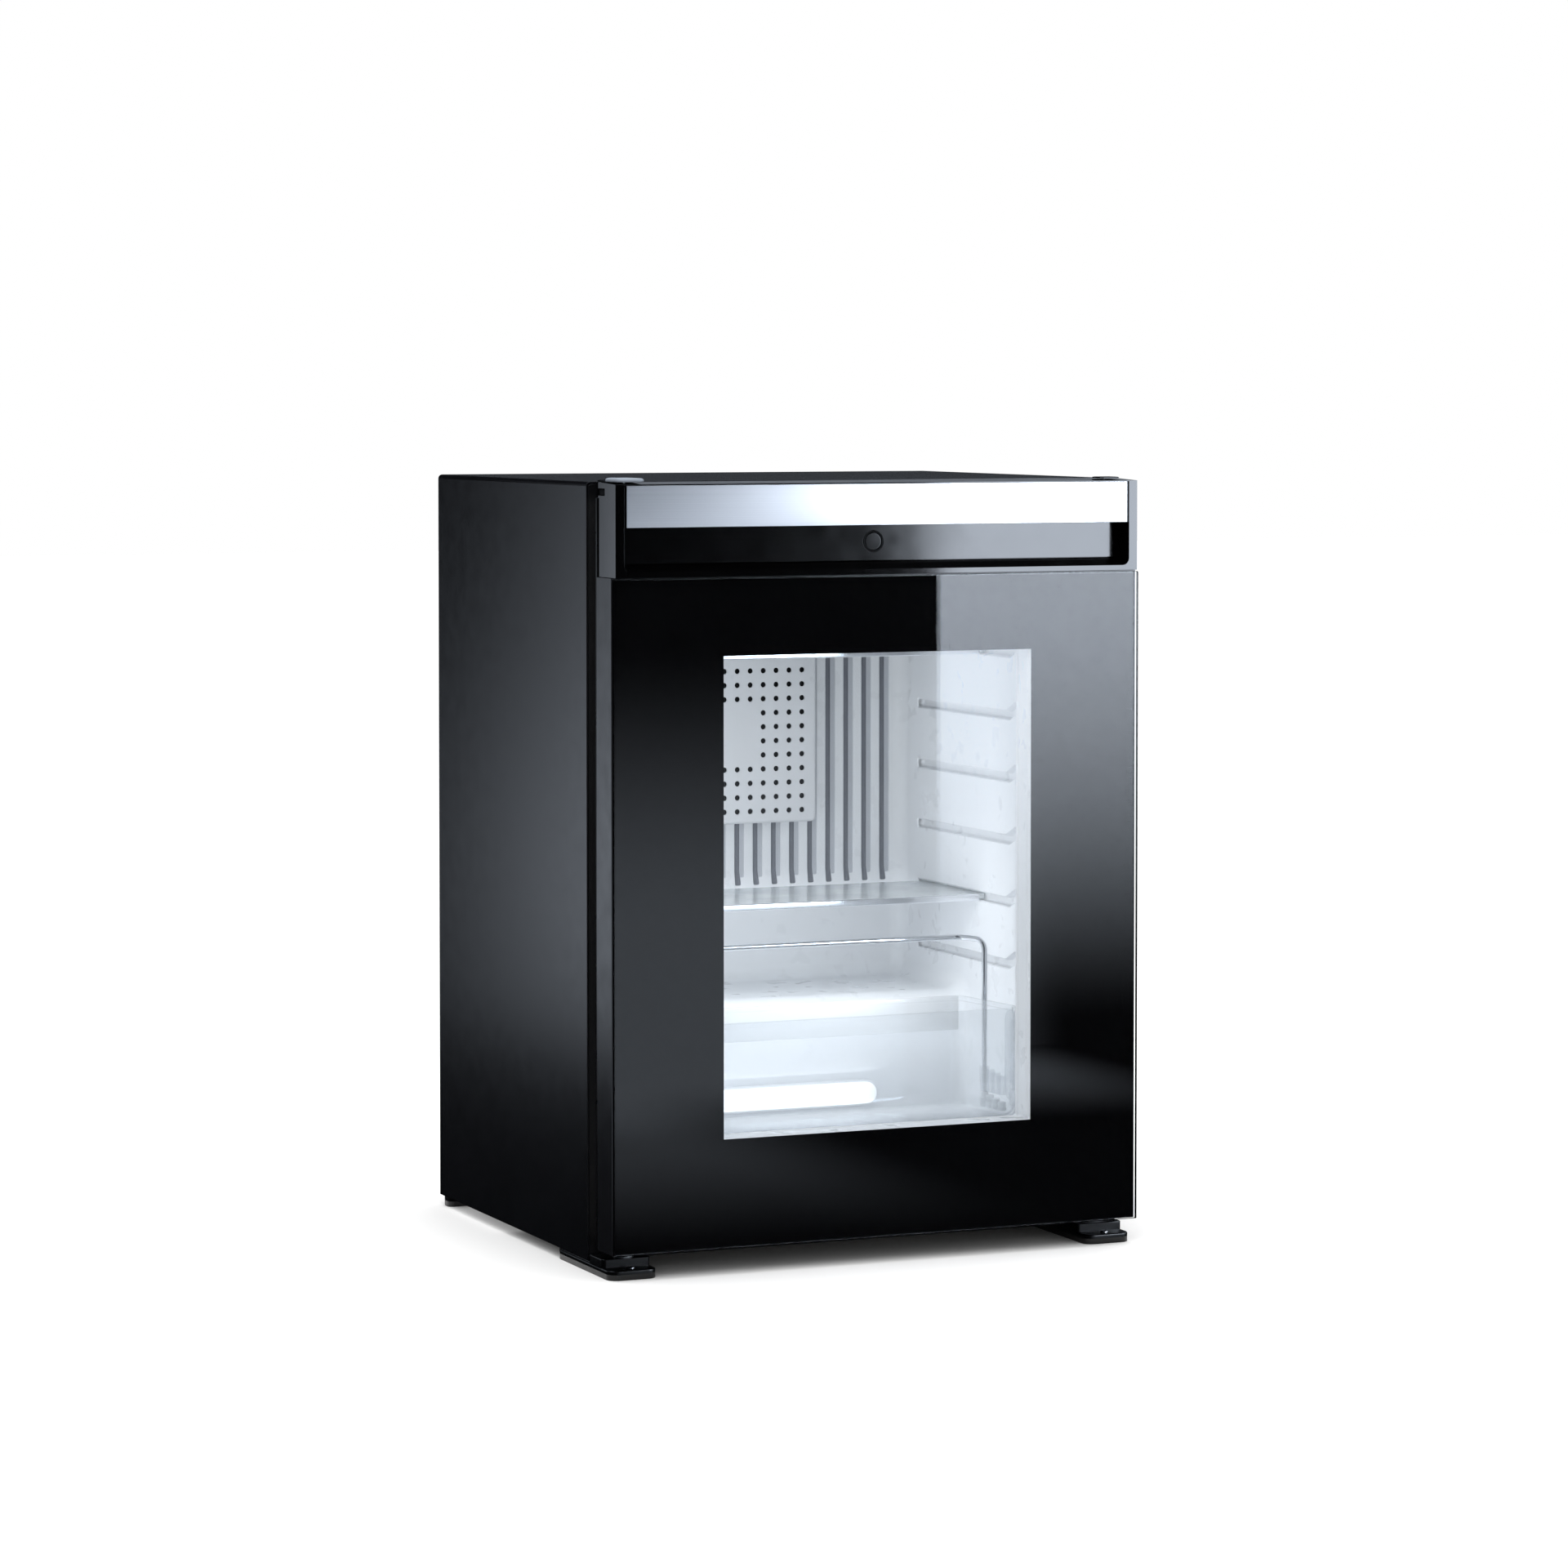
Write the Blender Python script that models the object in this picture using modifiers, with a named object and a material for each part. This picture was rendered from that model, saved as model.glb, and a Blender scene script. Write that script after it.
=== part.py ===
"""Hotel minibar fridge with a glass door: a Blender 4.5 script, in metres, with +Z up.

Y is measured here from the front of the closed door towards the back. The root empty then moves the
whole model so that its origin is the middle of its base.
"""
import math

import bmesh
import bpy
from mathutils import Matrix, Vector

# Overall sizes
WIDTH = 0.402
DOOR_DEPTH = 0.0324
DOOR_TO_CABINET = 0.0196
CABINET_DEPTH = 0.3064
UNIT_DEPTH = 0.0956
CABINET_BOTTOM = 0.008
CABINET_HEIGHT = 0.5406
GAP = 0.0003
SHEET = 0.001
CASING_RADIUS = 0.003

HALF = WIDTH / 2
CABINET_FRONT = DOOR_DEPTH + DOOR_TO_CABINET
CABINET_BACK = CABINET_FRONT + CABINET_DEPTH
TOTAL_DEPTH = CABINET_BACK + UNIT_DEPTH
ROOF = CABINET_BOTTOM + CABINET_HEIGHT
INSIDE_HALF = HALF - SHEET - GAP
INSIDE_FLOOR = CABINET_BOTTOM + SHEET + GAP
INSIDE_ROOF = ROOF - SHEET - GAP

# Cold compartment
SIDE_WALL = 0.041
BACK_WALL = 0.0439
FLOOR_WALL = 0.047
ROOF_WALL = 0.0436
LINER_WALL = 0.003
LINER_RADIUS = 0.014
FRAME_DEPTH = 0.008
STEP_HEIGHT = 0.108
STEP_DEPTH = 0.1145
RECESS_WALL = 0.028
GROOVE_PITCH = 0.0151
GROOVE_WIDTH = 0.0044
GROOVE_DEPTH = 0.0015
GROOVE_COUNT = 20
GROOVE_RISE = 0.0725
GROOVE_DROP = 0.035

COLD_HALF = HALF - SIDE_WALL
COLD_BACK = CABINET_BACK - BACK_WALL
COLD_FLOOR = CABINET_BOTTOM + FLOOR_WALL
COLD_ROOF = ROOF - ROOF_WALL
STEP_TOP = COLD_FLOOR + STEP_HEIGHT
STEP_FRONT = COLD_BACK - STEP_DEPTH
RECESS_TOP = STEP_TOP - RECESS_WALL
RECESS_FRONT = STEP_FRONT + RECESS_WALL
FRAME_BACK = CABINET_FRONT + FRAME_DEPTH
GROOVE_BOTTOM = STEP_TOP + GROOVE_RISE
GROOVE_TOP = COLD_ROOF - GROOVE_DROP

# Shelves and their rails
RAIL_COUNT = 6
RAIL_RISE = 0.1344
RAIL_DROP = 0.0861
RAIL_HEIGHT = 0.0055
RAIL_DEPTH = 0.0055
RAIL_FRONT_GAP = 0.063
RAIL_BACK_GAP = 0.0295
SHELF_THICKNESS = 0.004
SHELF_PLAY = 0.001
SHELF_SETBACK = 0.059
SHELF_BACK_GAP = 0.003
SHELF_TRIM_DEPTH = 0.002
SHELF_TRIM_HEIGHT = 0.005
LOWER_SHELF_RAIL = 1
UPPER_SHELF_RAIL = 5

RAIL_FIRST = COLD_FLOOR + RAIL_RISE
RAIL_PITCH = (COLD_ROOF - RAIL_DROP - RAIL_FIRST) / (RAIL_COUNT - 1)
RAIL_FRONT = CABINET_FRONT + RAIL_FRONT_GAP
RAIL_BACK = COLD_BACK - RAIL_BACK_GAP
SHELF_FRONT = RAIL_FRONT + SHELF_SETBACK
SHELF_BACK = RAIL_BACK - SHELF_BACK_GAP

# Perforated cover and the cooling plate behind it
COVER_DEPTH = 0.0295
COVER_HALF = 0.0755
COVER_HEIGHT = 0.135
COVER_DROP = 0.0849
COVER_SHEET = 0.001
HOLE_COLUMNS = 13
HOLE_ROWS = 12
HOLE_PITCH = 0.0106
HOLE_RADIUS = 0.00205
HOLE_SIDES = 6
HOLE_FIRST_ROW = 0.0092
BARE_COLUMNS = 2
BARE_ROWS = (4, 7)
FIN_COUNT = 11
FIN_THICKNESS = 0.002
FIN_DEPTH = 0.014
COLD_PLATE_THICKNESS = 0.003
COLD_PLATE_MARGIN = 0.004
COLD_PIPE_RADIUS = 0.009
COLD_PIPE_PROUD = 0.004

COVER_FRONT = COLD_BACK - COVER_DEPTH
COVER_TOP = COLD_ROOF - COVER_DROP
COVER_BOTTOM = COVER_TOP - COVER_HEIGHT
COVER_MIDDLE = (COVER_BOTTOM + COVER_TOP) / 2

# Interior light on the front of the step
LIGHT_HALF = 0.085
LIGHT_RISE = 0.027
LIGHT_HEIGHT = 0.016
LIGHT_RIM = 0.002
LIGHT_BASE_DEPTH = 0.0025
LIGHT_LENS_DEPTH = 0.004

LIGHT_BOTTOM = COLD_FLOOR + LIGHT_RISE

# Door
DOOR_BOTTOM = 0.0183
SEAM = 0.001
TRIM_SILL = 0.0035
TRIM_FRONT_DROP = 0.0011
TRIM_INSET = 0.0013
GLASS_THICKNESS = 0.004
MASK_THICKNESS = 0.0005
FRAME_LIMB = 0.020
PANEL_LIP = 0.003
PANEL_THICKNESS = 0.0031
PANEL_TOP_LIP = 0.011
JAMB_WALL = 0.0025
WINDOW_SIDE_BORDER = 0.0829
WINDOW_BOTTOM_BORDER = 0.0755
WINDOW_TOP_BORDER = 0.054
PANE_LIP = 0.0015
PANE_THICKNESS = 0.0028
GASKET_OUTER_INSET = 0.017
GASKET_WIDTH = 0.015
GASKET_RISE = 0.0057
GASKET_DROP = 0.0166
GASKET_RADIUS = 0.010
GASKET_NECK_DEPTH = 0.004
GASKET_NECK_START = 0.006
GASKET_NECK_END = 0.012
GASKET_SPARE = 0.004
NOTCH_FRONT = 0.020
NOTCH_DROP = 0.0091
NOTCH_HEIGHT = 0.005
NOTCH_DEPTH = 0.006

GASKET_BOTTOM = DOOR_BOTTOM + GASKET_RISE
GASKET_TOP = ROOF - GASKET_DROP
TRIM_FRONT_TOP = ROOF - TRIM_FRONT_DROP
WINDOW_HALF = HALF - WINDOW_SIDE_BORDER
WINDOW_BOTTOM = DOOR_BOTTOM + WINDOW_BOTTOM_BORDER
TRIM_HALF = HALF - TRIM_INSET
FRAME_FRONT = GLASS_THICKNESS + MASK_THICKNESS + 2 * GAP
PANEL_FRONT = DOOR_DEPTH - PANEL_THICKNESS

# Grip, strip and button
STRIP_SIDE_INSET = 0.0081
STRIP_EDGE = 0.0008
STRIP_HEIGHT = 0.0288
STRIP_THICKNESS = 0.0008
GRIP_SIDE_INSET = 0.0077
GRIP_HEIGHT = 0.0307
GRIP_RISE = 0.0053
GRIP_DEPTH = 0.0165
GRIP_RADIUS = 0.005
FINGER_LIP = 0.0055
FINGER_HEIGHT = 0.008
BACK_PLATE_INSET = 0.0033
BACK_PLATE_THICKNESS = 0.001
BUTTON_DROP = 0.0119
BUTTON_RADIUS = 0.0063
BUTTON_DEPTH = 0.0055
BUTTON_TRAVEL = 0.001
BEZEL_WIDTH = 0.0009
BEZEL_PROUD = 0.0005
BEZEL_DEPTH = 0.0050
BUTTON_SIDES = 24

STRIP_TOP = TRIM_FRONT_TOP - STRIP_EDGE
STRIP_BOTTOM = STRIP_TOP - STRIP_HEIGHT
GRIP_BOTTOM = STRIP_BOTTOM - GRIP_HEIGHT
GRIP_BACK_BOTTOM = GRIP_BOTTOM + GRIP_RISE
BUTTON_HEIGHT = STRIP_BOTTOM - BUTTON_DROP
TRIM_BOTTOM = GRIP_BOTTOM - TRIM_SILL
SEAM_BOTTOM = TRIM_BOTTOM - SEAM
FRAME_TOP = TRIM_BOTTOM - GAP
WINDOW_TOP = SEAM_BOTTOM - WINDOW_TOP_BORDER
FINGER_HALF = HALF - GRIP_SIDE_INSET - GRIP_RADIUS

# Hinges
HINGE_SIDE = 0.017
HINGE_DEPTH = 0.027
HINGE_PIN_RADIUS = 0.002
HINGE_COLLAR_RADIUS = 0.007
HINGE_PIN_REACH = 0.012
PIN_CLEARANCE = 0.0004
BRACKET_LEG_THICKNESS = 0.0035
BRACKET_LEG_INSET = 0.003
BRACKET_FRONT = 0.0045
BRACKET_SIDES = (0.005, 0.029)
BRACKET_THICKNESS = 0.0018
BRACKET_LEG_HEIGHT = 0.012
COVER_CAP_HEIGHT = 0.0013
PLUG_FRONT = 0.015
PLUG_LENGTH = 0.016
PLUG_HEIGHT = 0.001
PLUG_OFFSET = 0.002

HINGE_X = -HALF + HINGE_SIDE
HINGE_Y = HINGE_DEPTH

# Bottle bin and its guard
BIN_BACK = 0.120
BIN_FRONT = 0.0345
BIN_BOTTOM = 0.089
BIN_TOP = 0.1696
BIN_BACK_INSET = 0.083
BIN_WIDE_INSET = 0.073
BIN_WIDE_AT = 0.050
BIN_FRONT_INSET = 0.0774
BIN_WALL = 0.002
BIN_RADIUS = 0.012
BIN_STRIP_HEIGHT = 0.0255
BIN_STRIP_THICKNESS = 0.0008
HOOK_THICKNESS = 0.0025
HOOK_BACK = 0.068
HOOK_BOTTOM = 0.0996
HOOK_TOP = 0.165
WIRE_RADIUS = 0.0018
WIRE_RUN_Y = 0.119
WIRE_RUN_HEIGHT = 0.2123
WIRE_LEG_OUT = 0.009
WIRE_LEG_Y = 0.095
WIRE_BEND = 0.008
WIRE_LEG_BOTTOM = 0.1015
SOCKET_COUNT = 4
SOCKET_PITCH = 0.0075
SOCKET_WALL = 0.0012
SOCKET_TOP = 0.120
SOCKET_BOTTOM = 0.0988
SOCKET_STEP = 0.0015
SOCKET_CLEARANCE = 0.0005

BIN_BACK_HALF = HALF - BIN_BACK_INSET
BIN_WIDE_HALF = HALF - BIN_WIDE_INSET
BIN_FRONT_HALF = HALF - BIN_FRONT_INSET

# Feet
FOOT_WIDTH = 0.036
FOOT_FRONT = 0.009
FOOT_BACK = 0.112
FOOT_TOE_BACK = 0.0235
FOOT_TOE_HEIGHT = 0.0068
FOOT_WALL_BACK = 0.050
FOOT_WALL_HEIGHT = 0.0129
FOOT_RADIUS = 0.0075
REAR_FOOT_DEPTH = 0.0134
REAR_BAR_HEIGHT = 0.012
REAR_BAR_END = 0.020
REAR_BAR_WALL = 0.0015
REAR_FOOT_INSET = 0.002
REAR_FOOT_RADIUS = 0.004

# Cooling unit on the back
PLATE_HALF = 0.095
PLATE_HEIGHT = 0.180
PLATE_THICKNESS = 0.003
PLATE_RADIUS = 0.006
COIL_RADIUS = 0.008
COIL_RUNS = 5
COIL_PITCH = 0.036
COIL_INSET = 0.156
COIL_RISE = 0.088
COIL_SLOPE = 0.15
COIL_STRAIGHT = 0.0018
VESSEL_RADIUS = 0.024
VESSEL_INSET = 0.071
VESSEL_DOME = 0.010
VESSEL_HEIGHT = 0.062
BOILER_INSET = 0.119
BOILER_BOTTOM = 0.095
BOILER_DROP = 0.090
BOILER_NEAR = 0.004
BOILER_FAR = 0.008
BOILER_PLAY = 0.002
BOILER_RADIUS = 0.012
CONDENSER_INSET = 0.056
CONDENSER_DROP = 0.0586
CONDENSER_BEND = 0.018
CONDENSER_RADIUS = 0.007
CONDENSER_FINS = 18
CONDENSER_FIN_HEIGHT = 0.052
CONDENSER_FIN_DEPTH = 0.050
CONDENSER_FIN_THICKNESS = 0.0012
CONDENSER_FREE_END = 0.038
CONDENSER_DROP_INSET = 0.012
ELECTRICS_INSET = 0.061
ELECTRICS_WIDTH = 0.070
ELECTRICS_DROP = 0.0126
ELECTRICS_HEIGHT = 0.045
ELECTRICS_DEPTH = 0.012
GLAND_LENGTH = 0.010
GLAND_BASE = 0.004
GLAND_RADII = (0.004, 0.006, 0.008)
UNIT_BRACKET_INSET = 0.043
UNIT_BRACKET_WIDTH = 0.012
UNIT_BRACKET_WALL = 0.0015

UNIT_CENTRE_Y = CABINET_BACK + UNIT_DEPTH / 2
UNIT_BRACKET_X = HALF - UNIT_BRACKET_INSET
COIL_RIGHT = HALF - COIL_INSET
COIL_LOW = VESSEL_HEIGHT + COIL_RISE
VESSEL_HALF = HALF - VESSEL_INSET
CONDENSER_HALF = HALF - CONDENSER_INSET
CONDENSER_HEIGHT = ROOF - CONDENSER_DROP
BOILER_LEFT = HALF - BOILER_INSET
BOILER_TOP = CONDENSER_HEIGHT - BOILER_DROP
ELECTRICS_LEFT = ELECTRICS_INSET - HALF
PLATE_BOTTOM = COVER_MIDDLE - PLATE_HEIGHT / 2
ELECTRICS_BOTTOM = PLATE_BOTTOM - ELECTRICS_DROP - ELECTRICS_HEIGHT
CONDENSER_FIN_PITCH = (2 * CONDENSER_HALF - CONDENSER_FREE_END) / CONDENSER_FINS

AXES = {
    "X": Matrix(((0, 0, 1, 0), (1, 0, 0, 0), (0, 1, 0, 0), (0, 0, 0, 1))),
    "Y": Matrix(((1, 0, 0, 0), (0, 0, -1, 0), (0, 1, 0, 0), (0, 0, 0, 1))),
    "Z": Matrix.Identity(4),
}

# The exact solver drops a face from these two round-edged blocks, whose meshes are all closed.
SOLVERS = {"inner_liner": "MANIFOLD", "insulation_foam": "MANIFOLD"}

MATERIALS = {}


# Shared modelling helpers

def collection(name):
    """A new collection in the scene."""
    made = bpy.data.collections.new(name)
    bpy.context.scene.collection.children.link(made)
    return made


def axis_empty(name, location, parent=None):
    """An empty on a joint's axis; its pieces keep coordinates measured from the door's front."""
    empty = bpy.data.objects.new(name, None)
    empty.empty_display_size = 0.02
    empty.location = Vector(location)
    if parent is not None:
        empty.parent = parent
        empty.matrix_parent_inverse = Matrix.Translation(-parent_point(parent))
    PARTS.objects.link(empty)
    return empty


def parent_point(empty):
    """Where an empty stands, measured from the door's front."""
    return Vector() if empty is ROOT else empty.location.copy()


def material(name, colour, roughness, metallic=0.0, transmission=0.0):
    """A Principled material with one colour."""
    if name not in MATERIALS:
        made = bpy.data.materials.new(name)
        made.use_nodes = True
        shader = made.node_tree.nodes["Principled BSDF"]
        shader.inputs["Base Color"].default_value = (*colour, 1.0)
        shader.inputs["Roughness"].default_value = roughness
        shader.inputs["Metallic"].default_value = metallic
        shader.inputs["Transmission Weight"].default_value = transmission
        made.diffuse_color = (*colour, 1.0)
        MATERIALS[name] = made
    return MATERIALS[name]


def new_object(name, mesh):
    """An object in the parts collection, with smooth round faces and sharp edges."""
    obj = bpy.data.objects.new(name, mesh)
    PARTS.objects.link(obj)
    mesh.shade_smooth()
    mesh.set_sharp_from_angle(angle=math.radians(40))
    return obj


def dress(obj, paint, parent=None):
    """Give an object its material and its parent empty."""
    carrier = parent or ROOT
    obj.data.materials.append(paint)
    obj.parent = carrier
    obj.matrix_parent_inverse = Matrix.Translation(-parent_point(carrier))
    return obj


def as_cutter(obj):
    """Move an object to the cutters, where it only shapes others."""
    if obj.name in PARTS.objects:
        PARTS.objects.unlink(obj)
        CUTTERS.objects.link(obj)
        obj.parent = ROOT
        obj.hide_render = True
        obj.display_type = "WIRE"
    return obj


def combine(target, operation, *others):
    """Boolean modifiers on the target, one for each other object."""
    for other in others:
        step = target.modifiers.new(other.name, "BOOLEAN")
        step.operation = operation
        step.solver = SOLVERS.get(target.name, "EXACT")
        step.object = as_cutter(other)
    return target


def cut(target, *others):
    return combine(target, "DIFFERENCE", *others)


def join(target, *others):
    return combine(target, "UNION", *others)


def common(target, *others):
    return combine(target, "INTERSECT", *others)


def bevel(obj, width, segments=2):
    """Round the edges sharper than 35 degrees."""
    step = obj.modifiers.new("Rounded edges", "BEVEL")
    step.width = width
    step.segments = segments
    step.limit_method = "ANGLE"
    step.angle_limit = math.radians(35)
    return obj


def mesh_from(work, name):
    """Turn a bmesh into a mesh whose faces point out."""
    bmesh.ops.recalc_face_normals(work, faces=work.faces)
    mesh = bpy.data.meshes.new(name)
    work.to_mesh(mesh)
    work.free()
    return mesh


def box(name, low, high):
    """A box from its lowest to its highest corner."""
    low, high = Vector(low), Vector(high)
    work = bmesh.new()
    bmesh.ops.create_cube(work, size=1.0)
    size = high - low
    bmesh.ops.scale(work, vec=size, verts=work.verts)
    bmesh.ops.translate(work, vec=(low + high) / 2, verts=work.verts)
    return new_object(name, mesh_from(work, name))


def rod(name, axis, centre, radius, low, high, sides=16):
    """A cylinder along one axis; centre holds the two other coordinates."""
    work = bmesh.new()
    bmesh.ops.create_cone(work, cap_ends=True, segments=sides, radius1=radius, radius2=radius,
                          depth=high - low)
    bmesh.ops.translate(work, vec=(0, 0, (low + high) / 2), verts=work.verts)
    bmesh.ops.transform(work, matrix=rod_frame(axis, centre), verts=work.verts)
    return new_object(name, mesh_from(work, name))


def rod_frame(axis, centre):
    """Maps a shape made along Z to one of the three axes, through its centre."""
    first, second = centre
    frames = {
        "X": Matrix.Translation((0, first, second)) @ Matrix.Rotation(math.pi / 2, 4, "Y"),
        "Y": Matrix.Translation((first, 0, second)) @ Matrix.Rotation(-math.pi / 2, 4, "X"),
        "Z": Matrix.Translation((first, second, 0)),
    }
    return frames[axis]


def prism(name, outline, axis, low, high, holes=(), frame=None):
    """A flat outline with any holes, given thickness from low to high along an axis."""
    curve = bpy.data.curves.new(name, "CURVE")
    curve.dimensions = "2D"
    curve.fill_mode = "BOTH"
    curve.extrude = (high - low) / 2
    for loop in (outline, *holes):
        spline = curve.splines.new("POLY")
        spline.points.add(len(loop) - 1)
        for point, (across, up) in zip(spline.points, loop):
            point.co = (across, up, 0.0, 1.0)
        spline.use_cyclic_u = True
    middle = (low + high) / 2
    if axis == "Y":
        middle = -middle
    place = (frame or AXES[axis]) @ Matrix.Translation((0, 0, middle))
    return curve_to_object(name, curve, place)


def curve_to_object(name, curve, place):
    """A curve's solid as a mesh object with its caps welded."""
    guide = bpy.data.objects.new(name + "_curve", curve)
    PARTS.objects.link(guide)
    guide.matrix_world = place
    bpy.context.view_layer.update()
    depsgraph = bpy.context.evaluated_depsgraph_get()
    mesh = bpy.data.meshes.new_from_object(guide.evaluated_get(depsgraph))
    work = bmesh.new()
    work.from_mesh(mesh)
    bmesh.ops.remove_doubles(work, verts=work.verts, dist=1e-6)
    bmesh.ops.transform(work, matrix=place, verts=work.verts)
    bpy.data.objects.remove(guide)
    bpy.data.meshes.remove(mesh)
    return new_object(name, mesh_from(work, name))


def tube(name, points, radius, resolution=2, cyclic=False):
    """A round bar along points, with filled ends."""
    curve = bpy.data.curves.new(name, "CURVE")
    curve.dimensions = "3D"
    curve.bevel_depth = radius
    curve.bevel_resolution = resolution
    curve.use_fill_caps = not cyclic
    spline = curve.splines.new("POLY")
    spline.points.add(len(points) - 1)
    for point, position in zip(spline.points, points):
        point.co = (*position, 1.0)
    spline.use_cyclic_u = cyclic
    return curve_to_object(name, curve, Matrix.Identity(4))


def turned(name, profile, place, sides=20):
    """A turned piece: a profile of radius and height, from top to bottom, around Z."""
    work = bmesh.new()
    corners = [work.verts.new((radius, 0, height)) for radius, height in profile]
    for first, second in zip(corners, corners[1:]):
        work.edges.new((first, second))
    mesh = bpy.data.meshes.new(name)
    work.to_mesh(mesh)
    work.free()
    piece = new_object(name, mesh)
    screw = piece.modifiers.new("Turned", "SCREW")
    screw.axis = "Z"
    screw.steps = sides
    screw.render_steps = sides
    screw.use_merge_vertices = True
    screw.merge_threshold = 1e-5
    screw.use_smooth_shade = True
    piece.matrix_world = place
    return apply_modifiers(piece)


def apply_modifiers(obj):
    """Replace an object by its evaluated mesh, in the model's own coordinates."""
    bpy.context.view_layer.update()
    depsgraph = bpy.context.evaluated_depsgraph_get()
    mesh = bpy.data.meshes.new_from_object(obj.evaluated_get(depsgraph))
    mesh.transform(obj.matrix_world)
    name = obj.name
    bpy.data.objects.remove(obj)
    mesh.name = name
    return new_object(name, mesh)


def arc(centre, radius, start, end, steps):
    """Points on an arc between two angles in degrees, both ends included."""
    points = []
    for step in range(steps + 1):
        angle = math.radians(start + (end - start) * step / steps)
        points.append((centre[0] + radius * math.cos(angle), centre[1] + radius * math.sin(angle)))
    return points


def rounded(left, bottom, right, top, radius, steps=4):
    """A rectangle with round corners, anticlockwise from the lower left."""
    if radius <= 0:
        return [(left, bottom), (right, bottom), (right, top), (left, top)]
    return [
        *arc((left + radius, bottom + radius), radius, 180, 270, steps),
        *arc((right - radius, bottom + radius), radius, 270, 360, steps),
        *arc((right - radius, top - radius), radius, 0, 90, steps),
        *arc((left + radius, top - radius), radius, 90, 180, steps),
    ]


def circle(across, up, radius, sides):
    """A polygon round a centre."""
    return arc((across, up), radius, 0, 360 - 360 / sides, sides - 1)


def smooth_path(corners, radius, steps=4):
    """A path through 3-D corners with each inner corner rounded."""
    corners = [Vector(corner) for corner in corners]
    path = [corners[0]]
    for before, corner, after in zip(corners, corners[1:], corners[2:]):
        inward, outward = (before - corner).normalized(), (after - corner).normalized()
        half_angle = inward.angle(outward) / 2
        reach = radius / math.tan(half_angle)
        start, end = corner + inward * reach, corner + outward * reach
        centre = corner + (inward + outward).normalized() * (radius / math.sin(half_angle))
        for step in range(steps + 1):
            spoke = (start - centre).normalized().slerp((end - centre).normalized(), step / steps)
            path.append(centre + spoke * radius)
    path.append(corners[-1])
    return path


def mirrored(points):
    """The same path on the other side, in reverse order."""
    return [Vector((-point[0], point[1], point[2])) for point in reversed(points)]


# Materials

def paints():
    """The materials' colours, roughness and metallic values."""
    return {
        "casing": material("charcoal painted steel", (0.055, 0.06, 0.075), 0.45),
        "black": material("black plastic", (0.012, 0.012, 0.014), 0.35),
        "white": material("white liner plastic", (0.80, 0.83, 0.87), 0.40),
        "foam": material("insulation foam", (0.75, 0.68, 0.45), 0.90),
        "glass": material("clear glass", (0.92, 0.95, 0.96), 0.02, transmission=1.0),
        "mask": material("black glass print", (0.004, 0.004, 0.005), 0.10),
        "steel": material("brushed steel", (0.62, 0.64, 0.67), 0.28, metallic=1.0),
        "chrome": material("chromed wire", (0.80, 0.82, 0.85), 0.08, metallic=1.0),
        "clear": material("clear plastic", (0.88, 0.92, 0.96), 0.08, transmission=0.9),
        "rubber": material("gasket rubber", (0.02, 0.02, 0.022), 0.70),
        "grey": material("grey hinge plastic", (0.42, 0.46, 0.52), 0.45),
        "lamp": material("lamp lens", (0.85, 0.93, 1.0), 0.30, transmission=0.4),
        "aluminium": material("aluminium", (0.72, 0.74, 0.76), 0.35, metallic=1.0),
        "tube": material("painted unit tube", (0.03, 0.03, 0.032), 0.50),
        "zinc": material("zinc plated steel", (0.55, 0.55, 0.53), 0.40, metallic=1.0),
    }


# Cabinet

def outer_wrap(paint):
    """One steel sheet bent over both sides and the roof."""
    inner = CASING_RADIUS - SHEET
    outside = [(-HALF, CABINET_BOTTOM)]
    outside += arc((-HALF + CASING_RADIUS, ROOF - CASING_RADIUS), CASING_RADIUS, 180, 90, 4)
    outside += arc((HALF - CASING_RADIUS, ROOF - CASING_RADIUS), CASING_RADIUS, 90, 0, 4)
    outside += [(HALF, CABINET_BOTTOM)]
    inside = [(HALF - SHEET, CABINET_BOTTOM)]
    inside += arc((HALF - CASING_RADIUS, ROOF - CASING_RADIUS), inner, 0, 90, 4)
    inside += arc((-HALF + CASING_RADIUS, ROOF - CASING_RADIUS), inner, 90, 180, 4)
    inside += [(-HALF + SHEET, CABINET_BOTTOM)]
    wrap = prism("outer_wrap", outside + inside, "Y", CABINET_FRONT, CABINET_BACK)
    return dress(wrap, paint["casing"])


def base_pan(paint):
    """The floor sheet, from the front frame to the recess at the back."""
    low = (-INSIDE_HALF, FRAME_BACK + GAP, CABINET_BOTTOM)
    high = (INSIDE_HALF, RECESS_FRONT - SHEET - GAP, CABINET_BOTTOM + SHEET)
    return dress(box("base_pan", low, high), paint["casing"])


def rear_panel(paint):
    """The back sheet, bent forward over the recess for the cooling unit and down to the base."""
    top = INSIDE_ROOF
    profile = [
        (CABINET_BACK, top), (CABINET_BACK - SHEET, top), (CABINET_BACK - SHEET, RECESS_TOP + SHEET),
        (RECESS_FRONT - SHEET, RECESS_TOP + SHEET), (RECESS_FRONT - SHEET, CABINET_BOTTOM),
        (RECESS_FRONT, CABINET_BOTTOM), (RECESS_FRONT, RECESS_TOP), (CABINET_BACK, RECESS_TOP),
    ]
    panel = prism("rear_panel", profile, "X", -INSIDE_HALF, INSIDE_HALF)
    common(panel, casing_section("rear_panel_section"))
    return dress(cut(panel, pipe_bore("rear_panel_bore")), paint["casing"])


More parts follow.
